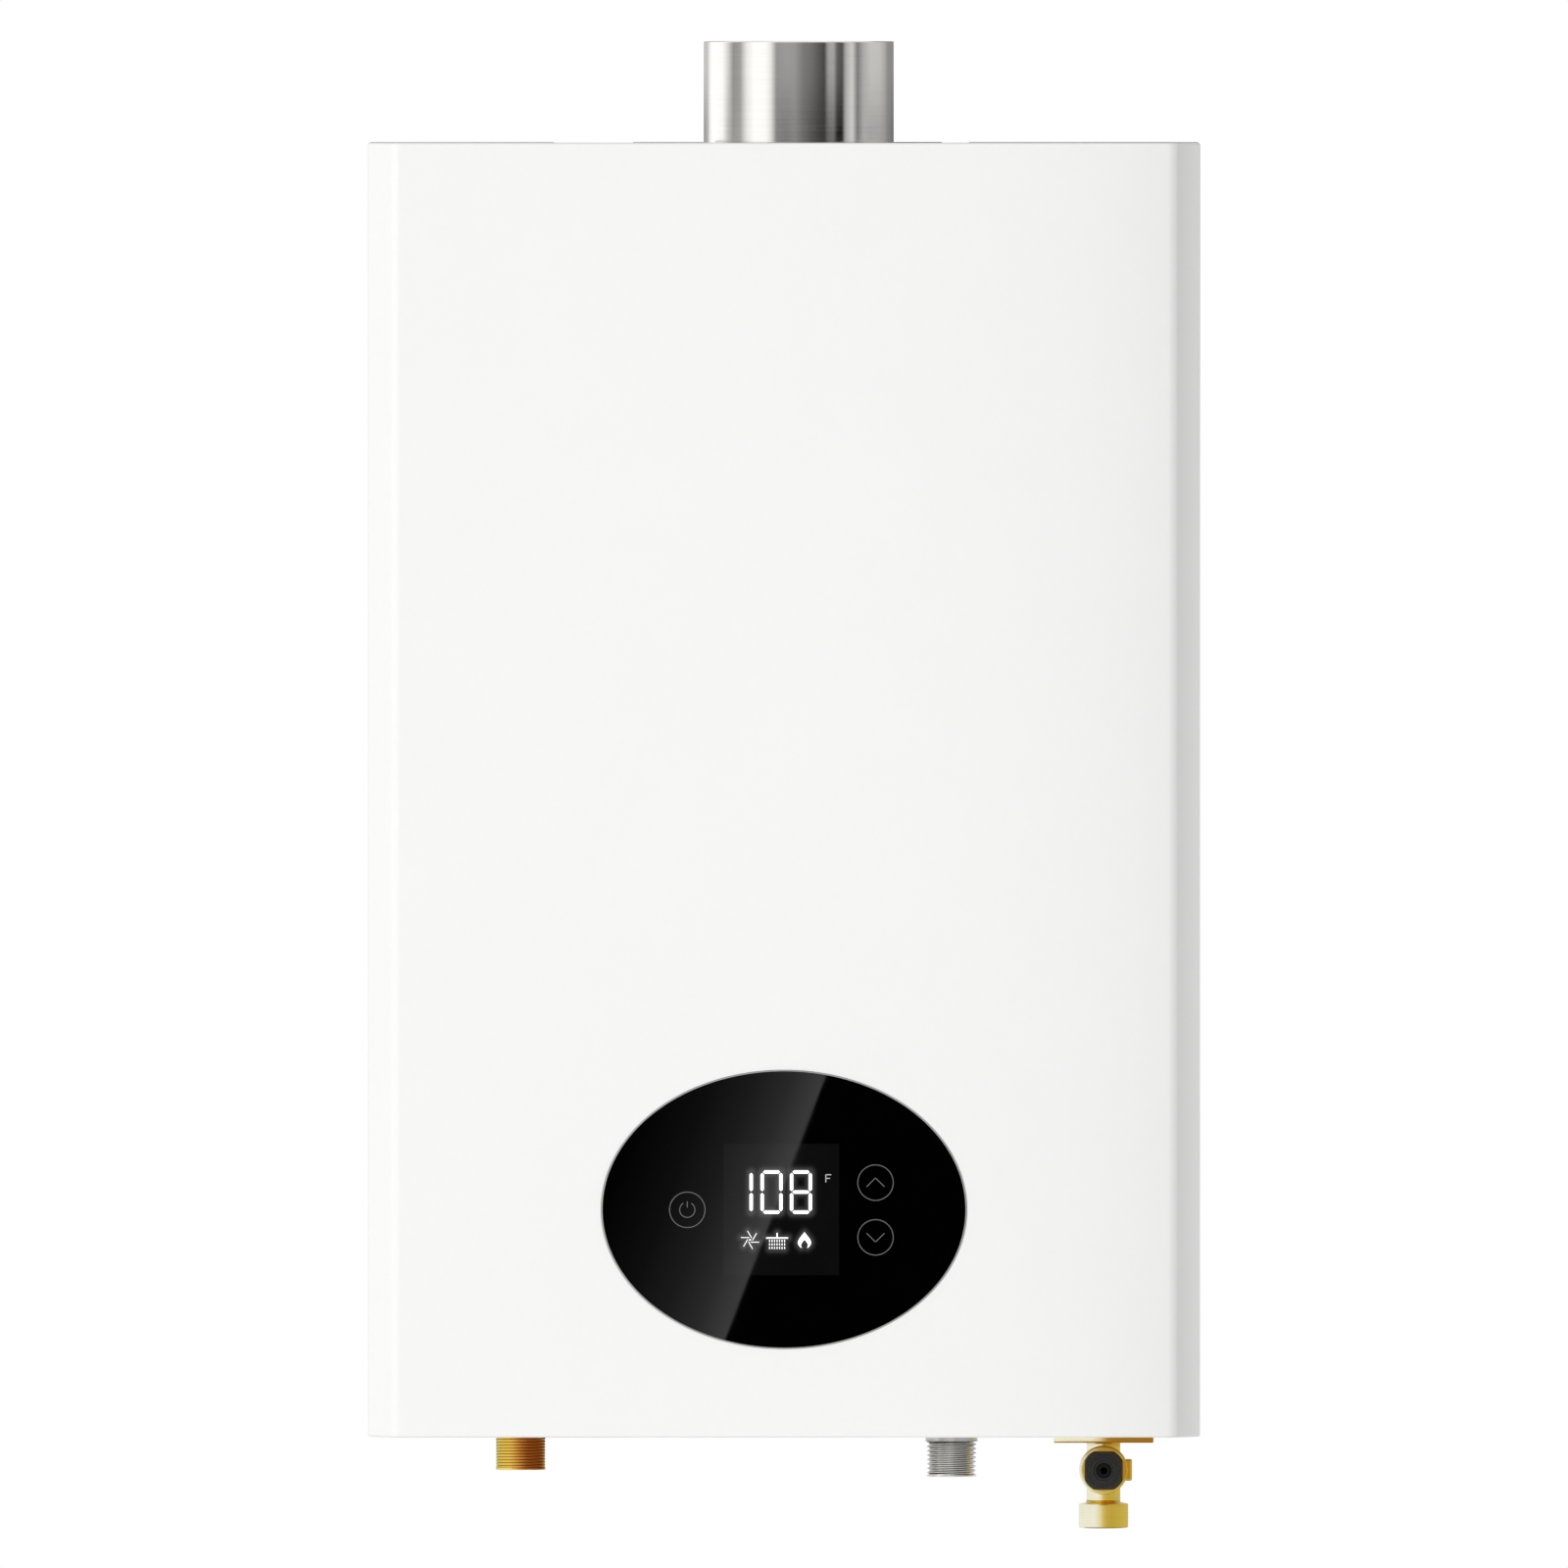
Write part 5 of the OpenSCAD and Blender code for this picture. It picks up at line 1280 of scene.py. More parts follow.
@dataclass
class HotOutlet:
    """Hot outlet: a threaded pipe end with a flange on the cabinet's floor."""

    bore: float = 6.5 * MM
    thread_d: float = 0.3 * MM
    thread_top: float = -271.9 * MM
    pitch: float = 1.23 * MM
    neck_r: float = 9.7 * MM
    socket_r: float = 10.5 * MM
    seat_r: float = 7.7 * MM
    seat_d: float = 8 * MM
    flange_t: float = 4 * MM
    flange_edge: float = 0.4 * MM

    def build(self, shop: Workshop) -> None:
        """Turn the pipe end and add its flange."""
        low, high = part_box("hot_outlet_fitting")
        centre = Vector((HOT_X, PIPE_Y, 0))
        thread = PipeThread(THREAD_R, self.thread_d, low.z + LIP_H, self.thread_top, self.pitch, SLIM_FLAT)
        socket = [(self.neck_r, self.thread_top), (self.neck_r, FLOOR_Z), (self.socket_r, FLOOR_Z),
                  (self.socket_r, high.z), (self.seat_r, high.z), (self.seat_r, high.z - self.seat_d),
                  (self.bore, high.z - self.seat_d)]
        blank = Blank()
        verts = blank.turn(pipe_lip(self.bore, low.z) + thread.profile() + socket, centre, Axis.UP)
        thread.cut(blank, verts, centre)
        flange = blank.block(Vector((low.x, low.y, FLOOR_Z)),
                             Vector((high.x, high.y, FLOOR_Z + self.flange_t)))
        blank.soften(flange, self.flange_edge)
        shop.dress(blank.piece("hot_outlet_thread"), Slot.OUTLET_BRASS, replaces=["hot_outlet_fitting"])


@dataclass
class GasInlet:
    """Gas inlet: a threaded pipe end with a ring, below the gas valve's plate."""

    bore: float = 7 * MM
    thread_d: float = 1.2 * MM
    thread_gap: float = 0.25 * MM
    ring_r: float = 11 * MM
    ring_z: float = -275.3 * MM
    ring_w: float = 0.9 * MM
    ring_fall: float = 0.15 * MM
    ring_edge: float = 0.12 * MM
    plate_t: float = 5 * MM
    plate_edge: float = 0.5 * MM

    def build(self, shop: Workshop) -> None:
        """Turn the pipe end with its ring and add the plate."""
        low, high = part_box("gas_inlet_fitting")
        centre = Vector((GAS_X, PIPE_Y, 0))
        thread = PipeThread(THREAD_R, self.thread_d, low.z + LIP_H, self.ring_z - self.thread_gap,
                            flat=SLIM_FLAT)
        ring = [(self.ring_r - self.ring_w, self.ring_z - self.ring_fall),
                (self.ring_r - self.ring_edge, self.ring_z), (self.ring_r, self.ring_z + self.ring_edge),
                (self.ring_r, high.z), (self.bore, high.z)]
        blank = Blank()
        verts = blank.turn(pipe_lip(self.bore, low.z) + thread.profile() + ring, centre, Axis.UP)
        thread.cut(blank, verts, centre)
        plate = blank.block(Vector((low.x, low.y, high.z - self.plate_t)), high)
        blank.soften(plate, self.plate_edge)
        shop.dress(blank.piece("gas_inlet_thread"), Slot.NICKEL, replaces=["gas_inlet_fitting"])


@dataclass
class ColdInlet:
    """Cold inlet: a threaded nut on a neck, with a flange plate and the boss of the drain valve."""

    mouth_r: float = 7.5 * MM
    mouth_d: float = 9.8 * MM
    bore: float = 5 * MM
    nut_h: float = 10.8 * MM
    nut_bevel: float = 0.8 * MM
    nut_edge: float = 0.3 * MM
    cone_h: float = 0.9 * MM
    thread_d: float = 0.08 * MM
    neck_r: float = 7.1 * MM
    neck_foot: float = 0.3 * MM
    neck_top: float = 0.5 * MM
    spigot_r: float = 9 * MM
    spigot_rise: float = 0.2 * MM
    plate_half: Point = (21 * MM, 12 * MM)
    plate_z: Point = (-275.7 * MM, -270.9 * MM)
    plate_edge: float = 0.5 * MM
    boss_r: float = 10.2 * MM
    boss_front: float = 84 * MM
    boss_edge: float = 0.6 * MM
    boss_round: Point = (0.15 * MM, 0.2 * MM)
    boss_bore: float = 6.6 * MM
    boss_bore_l: float = 10 * MM
    lug_x: Point = (7 * MM, 12 * MM)
    lug_y: Point = (-82 * MM, -74 * MM)
    lug_half_h: float = 4.5 * MM
    lug_edge: float = 0.8 * MM
    edge_steps: int = 3
    sharp_deg: float = 40

    def build(self, shop: Workshop) -> None:
        """Build the inlet with its plate and boss."""
        low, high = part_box("cold_inlet_body")
        blank = Blank()
        self._pipe(blank, low.z, high.z)
        self._boss(blank)
        shop.dress(blank.piece("cold_inlet_valve", self.sharp_deg), Slot.INLET_BRASS,
                   replaces=["cold_inlet_body"])

    def _pipe(self, blank: Blank, low_z: float, high_z: float) -> None:
        """Turn the nut, the neck and the spigot, and add the flange plate.

        Args:
            blank: Mesh in the making.
            low_z: Lower end of the inlet.
            high_z: Upper end of the inlet.
        """
        centre = Vector((COLD_X, PIPE_Y, 0))
        nut_top = low_z + self.nut_h
        plate_low, plate_high = self.plate_z
        thread = PipeThread(THREAD_R, self.thread_d, low_z + self.nut_bevel, nut_top - self.cone_h)
        nut = [(self.mouth_r, low_z)]
        nut += rounded((THREAD_R - self.nut_bevel, thread.low), self.nut_bevel, -90)
        nut += thread.profile()
        nut += rounded((THREAD_R - self.nut_edge, thread.high), self.nut_edge, 0)
        neck = [(self.neck_r + self.neck_foot, nut_top), (self.neck_r, nut_top + self.neck_foot),
                (self.neck_r, plate_low - self.neck_top), (self.neck_r + self.neck_top, plate_low)]
        spigot = [(self.spigot_r, plate_low + self.spigot_rise), (self.spigot_r, high_z), (self.bore, high_z),
                  (self.bore, low_z + self.mouth_d), (self.mouth_r, low_z + self.mouth_d)]
        verts = blank.turn(nut + neck + spigot, centre, Axis.UP)
        thread.cut(blank, verts, centre)
        half_x, half_y = self.plate_half
        plate = blank.block(Vector((COLD_X - half_x, PIPE_Y - half_y, plate_low)),
                            Vector((COLD_X + half_x, PIPE_Y + half_y, plate_high)))
        blank.soften(plate, self.plate_edge, self.edge_steps)

    def _boss(self, blank: Blank) -> None:
        """Turn the bored boss of the drain valve and add its lug."""
        drain = Vector((COLD_X, 0, DRAIN_Z))
        front, floor, back = self.boss_front, self.boss_front - self.boss_bore_l, -PIPE_Y
        across, down = self.boss_round
        blank.turn([(0, floor), (self.boss_bore, floor), (self.boss_bore, front),
                    (self.boss_r - self.boss_edge, front), (self.boss_r - across, front - down),
                    (self.boss_r, front - self.boss_edge), (self.boss_r, back), (0, back)],
                   drain, Axis.FRONT, ring=False)
        lug = blank.block(Vector((COLD_X + self.lug_x[0], self.lug_y[0], DRAIN_Z - self.lug_half_h)),
                          Vector((COLD_X + self.lug_x[1], self.lug_y[1], DRAIN_Z + self.lug_half_h)))
        blank.soften(lug, self.lug_edge, self.edge_steps)


@dataclass
class DrainKnob:
    """Drain knob with ring grooves in its face and four flats on its grip."""

    bore: float = 3.2 * MM
    recess_r: float = 4.5 * MM
    recess_taper: float = 0.1 * MM
    recess_d: float = 1 * MM
    face_r: Point = (4.9 * MM, 7.3 * MM)
    groove_r: Point = (5.4 * MM, 6.5 * MM)
    groove_floor: Point = (0.15 * MM, 0.4 * MM)
    groove_w: float = 0.55 * MM
    groove_d: float = 0.18 * MM
    grip_r: float = 9 * MM
    grip_back: float = 84.3 * MM
    front_edge: float = 0.5 * MM
    back_edge: float = 0.3 * MM
    skirt_r: float = 6.3 * MM
    steps: int = 128
    sharp_deg: float = 28

    def build(self, shop: Workshop) -> None:
        """Turn the knob and press its flats."""
        low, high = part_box("drain_knob")
        foot = Vector((COLD_X, 0, (low.z + high.z) / 2))
        blank = Blank()
        verts = blank.turn(self._profile(-low.y, -high.y), foot, Axis.FRONT, self.steps)
        flat = (high.x - low.x) / 2
        for v in verts:
            v.co.x = foot.x + max(-flat, min(flat, v.co.x - foot.x))
            v.co.z = foot.z + max(-flat, min(flat, v.co.z - foot.z))
        bmesh.ops.remove_doubles(blank.mesh, verts=blank.mesh.verts[:], dist=MERGE_REACH)
        shop.dress(blank.piece("drain_grip", self.sharp_deg), Slot.BLACK_PLASTIC, body=Body.KNOB,
                   replaces=["drain_knob"])

    def _profile(self, front: float, tail: float) -> list[Point]:
        """Return the turned profile, from the bore over the face and the grip to the skirt.

        Args:
            front: Distance of the face from the wall.
            tail: Distance of the skirt's end from the wall.

        Returns:
            Pairs of radius and distance from the wall.
        """
        recess = front - self.recess_d
        points = [(self.bore, tail), (self.bore, recess), (self.recess_r - self.recess_taper, recess),
                  (self.recess_r, front), (self.face_r[0], front)]
        for r in self.groove_r:
            bottom = [(r + reach, front - self.groove_d) for reach in self.groove_floor]
            points += [(r, front), *bottom, (r + self.groove_w, front)]
        points += [(self.face_r[1], front), (self.grip_r - self.front_edge, front),
                   (self.grip_r, front - self.front_edge), (self.grip_r, self.grip_back + self.back_edge),
                   (self.grip_r - self.back_edge, self.grip_back), (self.skirt_r, self.grip_back),
                   (self.skirt_r, tail)]
        return points


@dataclass
class Fixings:
    """Cover screws and the cord grommet in the cabinet's floor."""

    screw_l: float = 8 * MM
    bore: float = 3.5 * MM
    bore_foot: Point = (0.4 * MM, 0.5 * MM)
    hole: float = 7.8 * MM
    lip: float = 10 * MM
    lip_foot: Point = (0.4 * MM, 0.3 * MM)
    lip_top: float = 0.6 * MM
    shoulder_h: float = 2.2 * MM
    sheet_z: Point = (0.8 * MM, 1.6 * MM)
    cone_foot: float = 8 * MM
    cone_top: Point = (5.2 * MM, 4.9 * MM)
    cone_edge: float = 0.3 * MM
    steps: int = 64

    def build(self, shop: Workshop) -> None:
        """Build the screws and the grommet."""
        self._screws(shop)
        self._grommet(shop)

    def _screws(self, shop: Workshop) -> None:
        """Drive the two cover screws up into the floor."""
        low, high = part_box("cover_screws")
        blank = Blank()
        y = (low.y + high.y) / 2
        reach = (high.y - low.y) / 2
        for x in (low.x + reach, high.x - reach):
            Screw(Vector((x, y, low.z)), self.screw_l, up=False).add(blank)
        shop.dress(blank.piece("cover_screw_set"), Slot.SCREW_STEEL, replaces=["cover_screws"])

    def _grommet(self, shop: Workshop) -> None:
        """Turn the grommet with its groove for the sheet and its cone inside."""
        low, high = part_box("cable_grommet")
        foot = Vector(((low.x + high.x) / 2, (low.y + high.y) / 2, 0))
        bore, hole, lip = self.bore, self.hole, self.lip
        sheet_low, sheet_high = (low.z + z for z in self.sheet_z)
        shoulder = sheet_high + self.shoulder_h
        below = [(bore, low.z + self.bore_foot[1]), (bore + self.bore_foot[0], low.z),
                 (lip - self.lip_foot[0], low.z), (lip, low.z + self.lip_foot[1]), (lip, sheet_low)]
        groove = [(hole, sheet_low), (hole, sheet_high)]
        above = [(lip, sheet_high), (lip, shoulder - self.lip_top), (lip - self.lip_top, shoulder)]
        cone = [(self.cone_foot, shoulder), (self.cone_top[0], high.z - self.cone_edge),
                (self.cone_top[1], high.z), (bore + self.cone_edge, high.z), (bore, high.z - self.cone_edge)]
        blank = Blank()
        blank.turn(below + groove + above + cone, foot, Axis.UP, self.steps)
        shop.dress(blank.piece("cord_grommet"), Slot.BLACK_RUBBER, replaces=["cable_grommet"])


class RayKind(Enum):
    """Kinds of ray that can see a stage object."""

    CAMERA = "visible_camera"
    DIFFUSE = "visible_diffuse"
    GLOSSY = "visible_glossy"
    TRANSMISSION = "visible_transmission"
    SHADOW = "visible_shadow"


class Stand(Enum):
    """Ways a card can stand, as the axis that it is turned about from lying flat."""

    FACING_FRONT = "X"
    FACING_SIDE = "Y"
    LYING = "Z"


def glowing(name: str, colour: Colour = (1.0, 1.0, 1.0)) -> bpy.types.Material:
    """Return a new material for a stage card that only glows.

    Args:
        name: Name of the material.
        colour: Colour of the glow.

    Returns:
        The new material.
    """
    material = bpy.data.materials.new(name)
    material.use_nodes = True
    tree = material.node_tree
    tree.nodes.remove(tree.nodes["Principled BSDF"])
    glow = add_node(tree, "ShaderNodeEmission", {"Color": rgba(colour)})
    tree.links.new(glow.outputs["Emission"], tree.nodes["Material Output"].inputs["Surface"])
    return material


def seen_plainly(tree: bpy.types.NodeTree) -> bpy.types.NodeSocket:
    """Add nodes that give 1 to camera, glossy and transmission rays, and 0 to others.

    Args:
        tree: Node tree of a material or of the world.

    Returns:
        The socket that gives it.
    """
    path = add_node(tree, "ShaderNodeLightPath")
    seen = path.outputs["Is Camera Ray"]
    for kind in ("Is Glossy Ray", "Is Transmission Ray"):
        either = add_node(tree, "ShaderNodeMath", operation="MAXIMUM")
        tree.links.new(seen, either.inputs[0])
        tree.links.new(path.outputs[kind], either.inputs[1])
        seen = either.outputs["Value"]
    return seen


def shade_ramp(tree: bpy.types.NodeTree, shades: Sequence[tuple[float, Colour]]) -> bpy.types.Node:
    """Add a colour ramp to a node tree.

    Args:
        tree: Node tree of a material.
        shades: Pairs of position and colour, in order.

    Returns:
        The ramp's node.
    """
    ramp = add_node(tree, "ShaderNodeValToRGB")
    stops = ramp.color_ramp.elements
    while len(stops) < len(shades):
        stops.new(0.5)
    for stop, (position, colour) in zip(stops, shades):
        stop.position = position
        stop.color = rgba(colour)
    return ramp


def put_on_stage(blank: Blank, material: bpy.types.Material, kind: RayKind) -> None:
    """Put a card on the stage that one kind of ray sees.

    Args:
        blank: Mesh of the card.
        material: Material of the card, whose name it takes.
        kind: Rays that see it.
    """
    card = blank.piece(material.name, closed=False)
    card.data.materials.append(material)
    for other in RayKind:
        setattr(card, other.value, other is kind)
    card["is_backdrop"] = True


@dataclass(frozen=True)
class Card:
    """A plain card on the stage.

    Attributes:
        name: Name of the card.
        middle: Its middle.
        half: Half its width and half its height.
        stand: How it stands.
        colour: Colour of its glow.
        kind: Rays that see it.
    """

    name: str
    middle: Vector
    half: Point
    stand: Stand
    colour: Colour = (1.0, 1.0, 1.0)
    kind: RayKind = RayKind.GLOSSY

    def build(self, material: Optional[bpy.types.Material] = None) -> None:
        """Stand the card up.

        Args:
            material: Material of its own, or None for an even glow.
        """
        blank = Blank()
        verts = bmesh.ops.create_grid(blank.mesh, x_segments=1, y_segments=1, size=1.0)["verts"]
        bmesh.ops.scale(blank.mesh, vec=(*self.half, 1), verts=verts)
        turn = Matrix.Rotation(QUARTER_TURN, 3, self.stand.value)
        bmesh.ops.rotate(blank.mesh, matrix=turn, verts=verts)
        bmesh.ops.translate(blank.mesh, vec=self.middle, verts=verts)
        put_on_stage(blank, material or glowing(self.name, self.colour), self.kind)


@dataclass(frozen=True)
class FlatRing:
    """A flat ring on the stage that only reflections see.

    Attributes:
        name: Name of the ring.
        middle: Its middle.
        radii: Its inner and outer radius.
        axis: Axis through its middle.
        colour: Colour of its glow.
        steps: Segments round it.
    """

    name: str
    middle: Vector
    radii: Point
    axis: Axis
    colour: Colour
    steps: int = 64

    def build(self) -> None:
        """Hang the ring."""
        blank = Blank()
        edges = [edge for radius in self.radii
                 for edge in blank.circle(self.middle, radius, self.axis, self.steps)]
        blank.fill(edges, self.axis.along)
        put_on_stage(blank, glowing(self.name, self.colour), RayKind.GLOSSY)


@dataclass(frozen=True)
class Shade:
    """Colour of a reflector ring at one bearing.

    Attributes:
        bearing: Degrees from the front towards the right.
        high: Colour at the ring's upper mark.
        low: Colour at its lower mark.
    """

    bearing: float
    high: Colour
    low: Colour


@dataclass(frozen=True)
class ReflectorRing:
    """A ring of studio cards round a piece that only reflections see.

    Attributes:
        name: Name of the stage object.
        centre: Middle of the ring.
        radius: Radius of the ring.
        height: Height of the cards.
        marks: Heights where the low and the high colours hold.
        shades: Colours in the order of their bearings.
        inner: Inner radius, where the ring lies flat.
        steps: Segments round it.
    """

    name: str
    centre: Vector
    radius: float
    height: float
    marks: Point
    shades: tuple[Shade, ...]
    inner: float = 0.0
    steps: int = 180

    def build(self) -> None:
        """Roll the ring of cards."""
        blank = Blank()
        half = Vector((0, 0, self.height / 2))
        start = self.centre + Vector((0, self.radius, 0))
        end = self.centre + Vector((0, self.inner or self.radius, 0))
        ends = [blank.mesh.verts.new(start - half), blank.mesh.verts.new(end + half)]
        edge = blank.mesh.edges.new(ends)
        bmesh.ops.spin(blank.mesh, geom=[*ends, edge], cent=self.centre, axis=Axis.UP.along, angle=FULL_TURN,
                       steps=self.steps, use_merge=True)
        put_on_stage(blank, self._material(), RayKind.GLOSSY)

    def _material(self) -> bpy.types.Material:
        """Return a glowing material shaded by bearing and height."""
        material = glowing(self.name)
        tree = material.node_tree
        place = add_node(tree, "ShaderNodeTexCoord")
        shift = add_node(tree, "ShaderNodeVectorMath", {1: self.centre}, operation="SUBTRACT")
        parts = add_node(tree, "ShaderNodeSeparateXYZ")
        flip = add_node(tree, "ShaderNodeMath", {1: -1.0}, operation="MULTIPLY")
        bearing = add_node(tree, "ShaderNodeMath", operation="ARCTAN2")
        share = add_node(tree, "ShaderNodeMapRange", {"From Min": -math.pi, "From Max": math.pi})
        low, high = (mark - self.centre.z for mark in self.marks)
        rise = add_node(tree, "ShaderNodeMapRange", {"From Min": low, "From Max": high})
        blend = add_node(tree, "ShaderNodeMix", data_type="RGBA")
        link = tree.links.new
        link(place.outputs["Object"], shift.inputs[0])
        link(shift.outputs["Vector"], parts.inputs["Vector"])
        link(parts.outputs["Y"], flip.inputs[0])
        link(parts.outputs["X"], bearing.inputs[0])
        link(flip.outputs["Value"], bearing.inputs[1])
        link(bearing.outputs["Value"], share.inputs["Value"])
        link(parts.outputs["Z"], rise.inputs["Value"])
        link(rise.outputs["Result"], blend.inputs["Factor"])
        for side, colours in (("A", [s.low for s in self.shades]), ("B", [s.high for s in self.shades])):
            stops = [((s.bearing + 180) / 360, colour) for s, colour in zip(self.shades, colours)]
            ramp = shade_ramp(tree, stops)
            link(share.outputs["Result"], ramp.inputs["Fac"])
            link(ramp.outputs["Color"], blend.inputs[side])
        link(blend.outputs["Result"], tree.nodes["Emission"].inputs["Color"])
        return material


def grey_shades(*rows: tuple[float, float, float]) -> tuple[Shade, ...]:
    """Return neutral shades from rows of bearing, high level and low level."""
    return tuple(Shade(bearing, grey(high), grey(low)) for bearing, high, low in rows)


def even_shades(*rows: tuple[float, Colour]) -> tuple[Shade, ...]:
    """Return shades that keep one colour over the height, from rows of bearing and colour."""
    return tuple(Shade(bearing, colour, colour) for bearing, colour in rows)


COLLAR_SHADES = grey_shades(
    (-180, 0.50, 0.20), (-145, 0.70, 0.52), (-135, 1.17, 1.11), (-125, 1.30, 1.30), (-105, 1.24, 1.18),
    (-95, 0.85, 0.62), (-86, 0.36, 0.38), (-75, 0.43, 0.45), (-65, 1.06, 1.02), (-55, 1.30, 1.30),
    (-40, 1.25, 1.22), (-34, 1.02, 0.95), (-27, 0.38, 0.27), (-15, 0.42, 0.22), (-5, 0.40, 0.28),
    (5, 0.25, 0.17), (15, 0.21, 0.09), (24, 0.13, 0.05), (31, 0.08, 0.04), (36, 0.48, 0.12),
    (42, 0.5, 0.14), (47, 0.16, 0.0), (54, 0.1, 0.0), (58, 0.48, 0.46), (67, 0.78, 0.78),
    (75, 0.24, 0.22), (85, 0.52, 0.50), (97, 0.68, 0.44), (115, 0.66, 0.44), (128, 0.50, 0.38),
    (137, 0.33, 0.28), (180, 0.25, 0.10))

HOT_SHADES = (
    Shade(-180, (0.5, 0.5, 0.4), (0.4, 0.4, 0.3)), Shade(-105, (0.95, 1.15, 1.2), (0.85, 0.82, 0.3)),
    Shade(-65, (1.0, 1.15, 1.2), (0.95, 0.85, 0.5)), Shade(-42, (1.0, 1.1, 1.2), (0.82, 0.62, 0.3)),
    Shade(-30, (0.95, 0.95, 1.0), (0.7, 0.44, 0.2)), Shade(-15, (0.8, 0.7, 0.7), (0.58, 0.3, 0.12)),
    Shade(0, (0.6, 0.4, 0.35), (0.46, 0.19, 0.07)), Shade(22, (0.4, 0.21, 0.14), (0.37, 0.14, 0.06)),
    Shade(60, (0.36, 0.19, 0.12), (0.27, 0.085, 0.04)), Shade(100, (0.32, 0.16, 0.08), (0.22, 0.06, 0.02)),
    Shade(180, (0.5, 0.5, 0.4), (0.4, 0.4, 0.3)))

# Colours of the flat card over the hot outlet, by bearing: painted shade for the thread's upper flanks to
# mirror.
HOT_ROOF_SHADES = even_shades(
    (-180, grey(0.3)), (-60, (0.34, 0.26, 0.02)), (-30, (0.3, 0.19, 0.02)), (0, (0.18, 0.05, 0.0)),
    (26, (0.07, 0.006, 0.0)), (100, (0.05, 0.003, 0.0)), (180, grey(0.3)))

GAS_SHADES = grey_shades(
    (-180, 0.8, 0.8), (-104, 1.15, 1.3), (-76, 1.2, 1.15), (-57, 1.42, 1.85), (-40, 0.85, 1.5),
    (-24, 1.0, 1.65), (-8, 1.12, 1.8), (3, 1.13, 1.6), (13, 0.8, 1.3), (27, 0.85, 1.1), (43, 0.9, 1.0),
    (64, 0.8, 0.8)) + (
    Shade(80, (0.85, 0.76, 0.58), (1.2, 0.95, 0.65)), Shade(97, (0.9, 0.8, 0.52), (1.4, 1.1, 0.72)),
    Shade(112, grey(0.95), grey(1.5)), Shade(180, grey(0.8), grey(0.8)))

COLD_SHADES = (
    Shade(-180, (0.7, 0.62, 0.4), (0.7, 0.62, 0.4)), Shade(-130, (0.95, 1.0, 1.1), (0.95, 1.03, 1.2)),
    Shade(-36, (1.02, 1.08, 1.2), (0.98, 1.08, 1.45)), Shade(-18, (1.05, 1.1, 1.3), (0.9, 0.94, 0.9)),
    Shade(-8, (1.04, 1.1, 1.3), (0.82, 0.76, 0.5)), Shade(-2, (0.85, 0.78, 0.5), (0.74, 0.64, 0.3)),
    Shade(3, (0.42, 0.23, 0.02), (0.68, 0.56, 0.2)), Shade(14, (0.4, 0.21, 0.02), (0.61, 0.48, 0.12)),
    Shade(32, (0.4, 0.2, 0.02), (0.58, 0.45, 0.1)), Shade(110, (0.42, 0.2, 0.02), (0.66, 0.54, 0.15)),
    Shade(180, (0.6, 0.5, 0.3), (0.6, 0.5, 0.3)))

NUT_SHADES = even_shades(
    (-180, (0.49, 0.37, 0.06)), (-60, (0.49, 0.37, 0.06)), (-30, (0.63, 0.45, 0.03)),
    (-13, (0.66, 0.39, 0.0)), (-3, (0.5, 0.18, 0.0)), (19, (0.39, 0.11, 0.0)), (36, (0.34, 0.13, 0.0)),
    (60, (0.5, 0.41, 0.2)), (180, (0.49, 0.37, 0.06)))


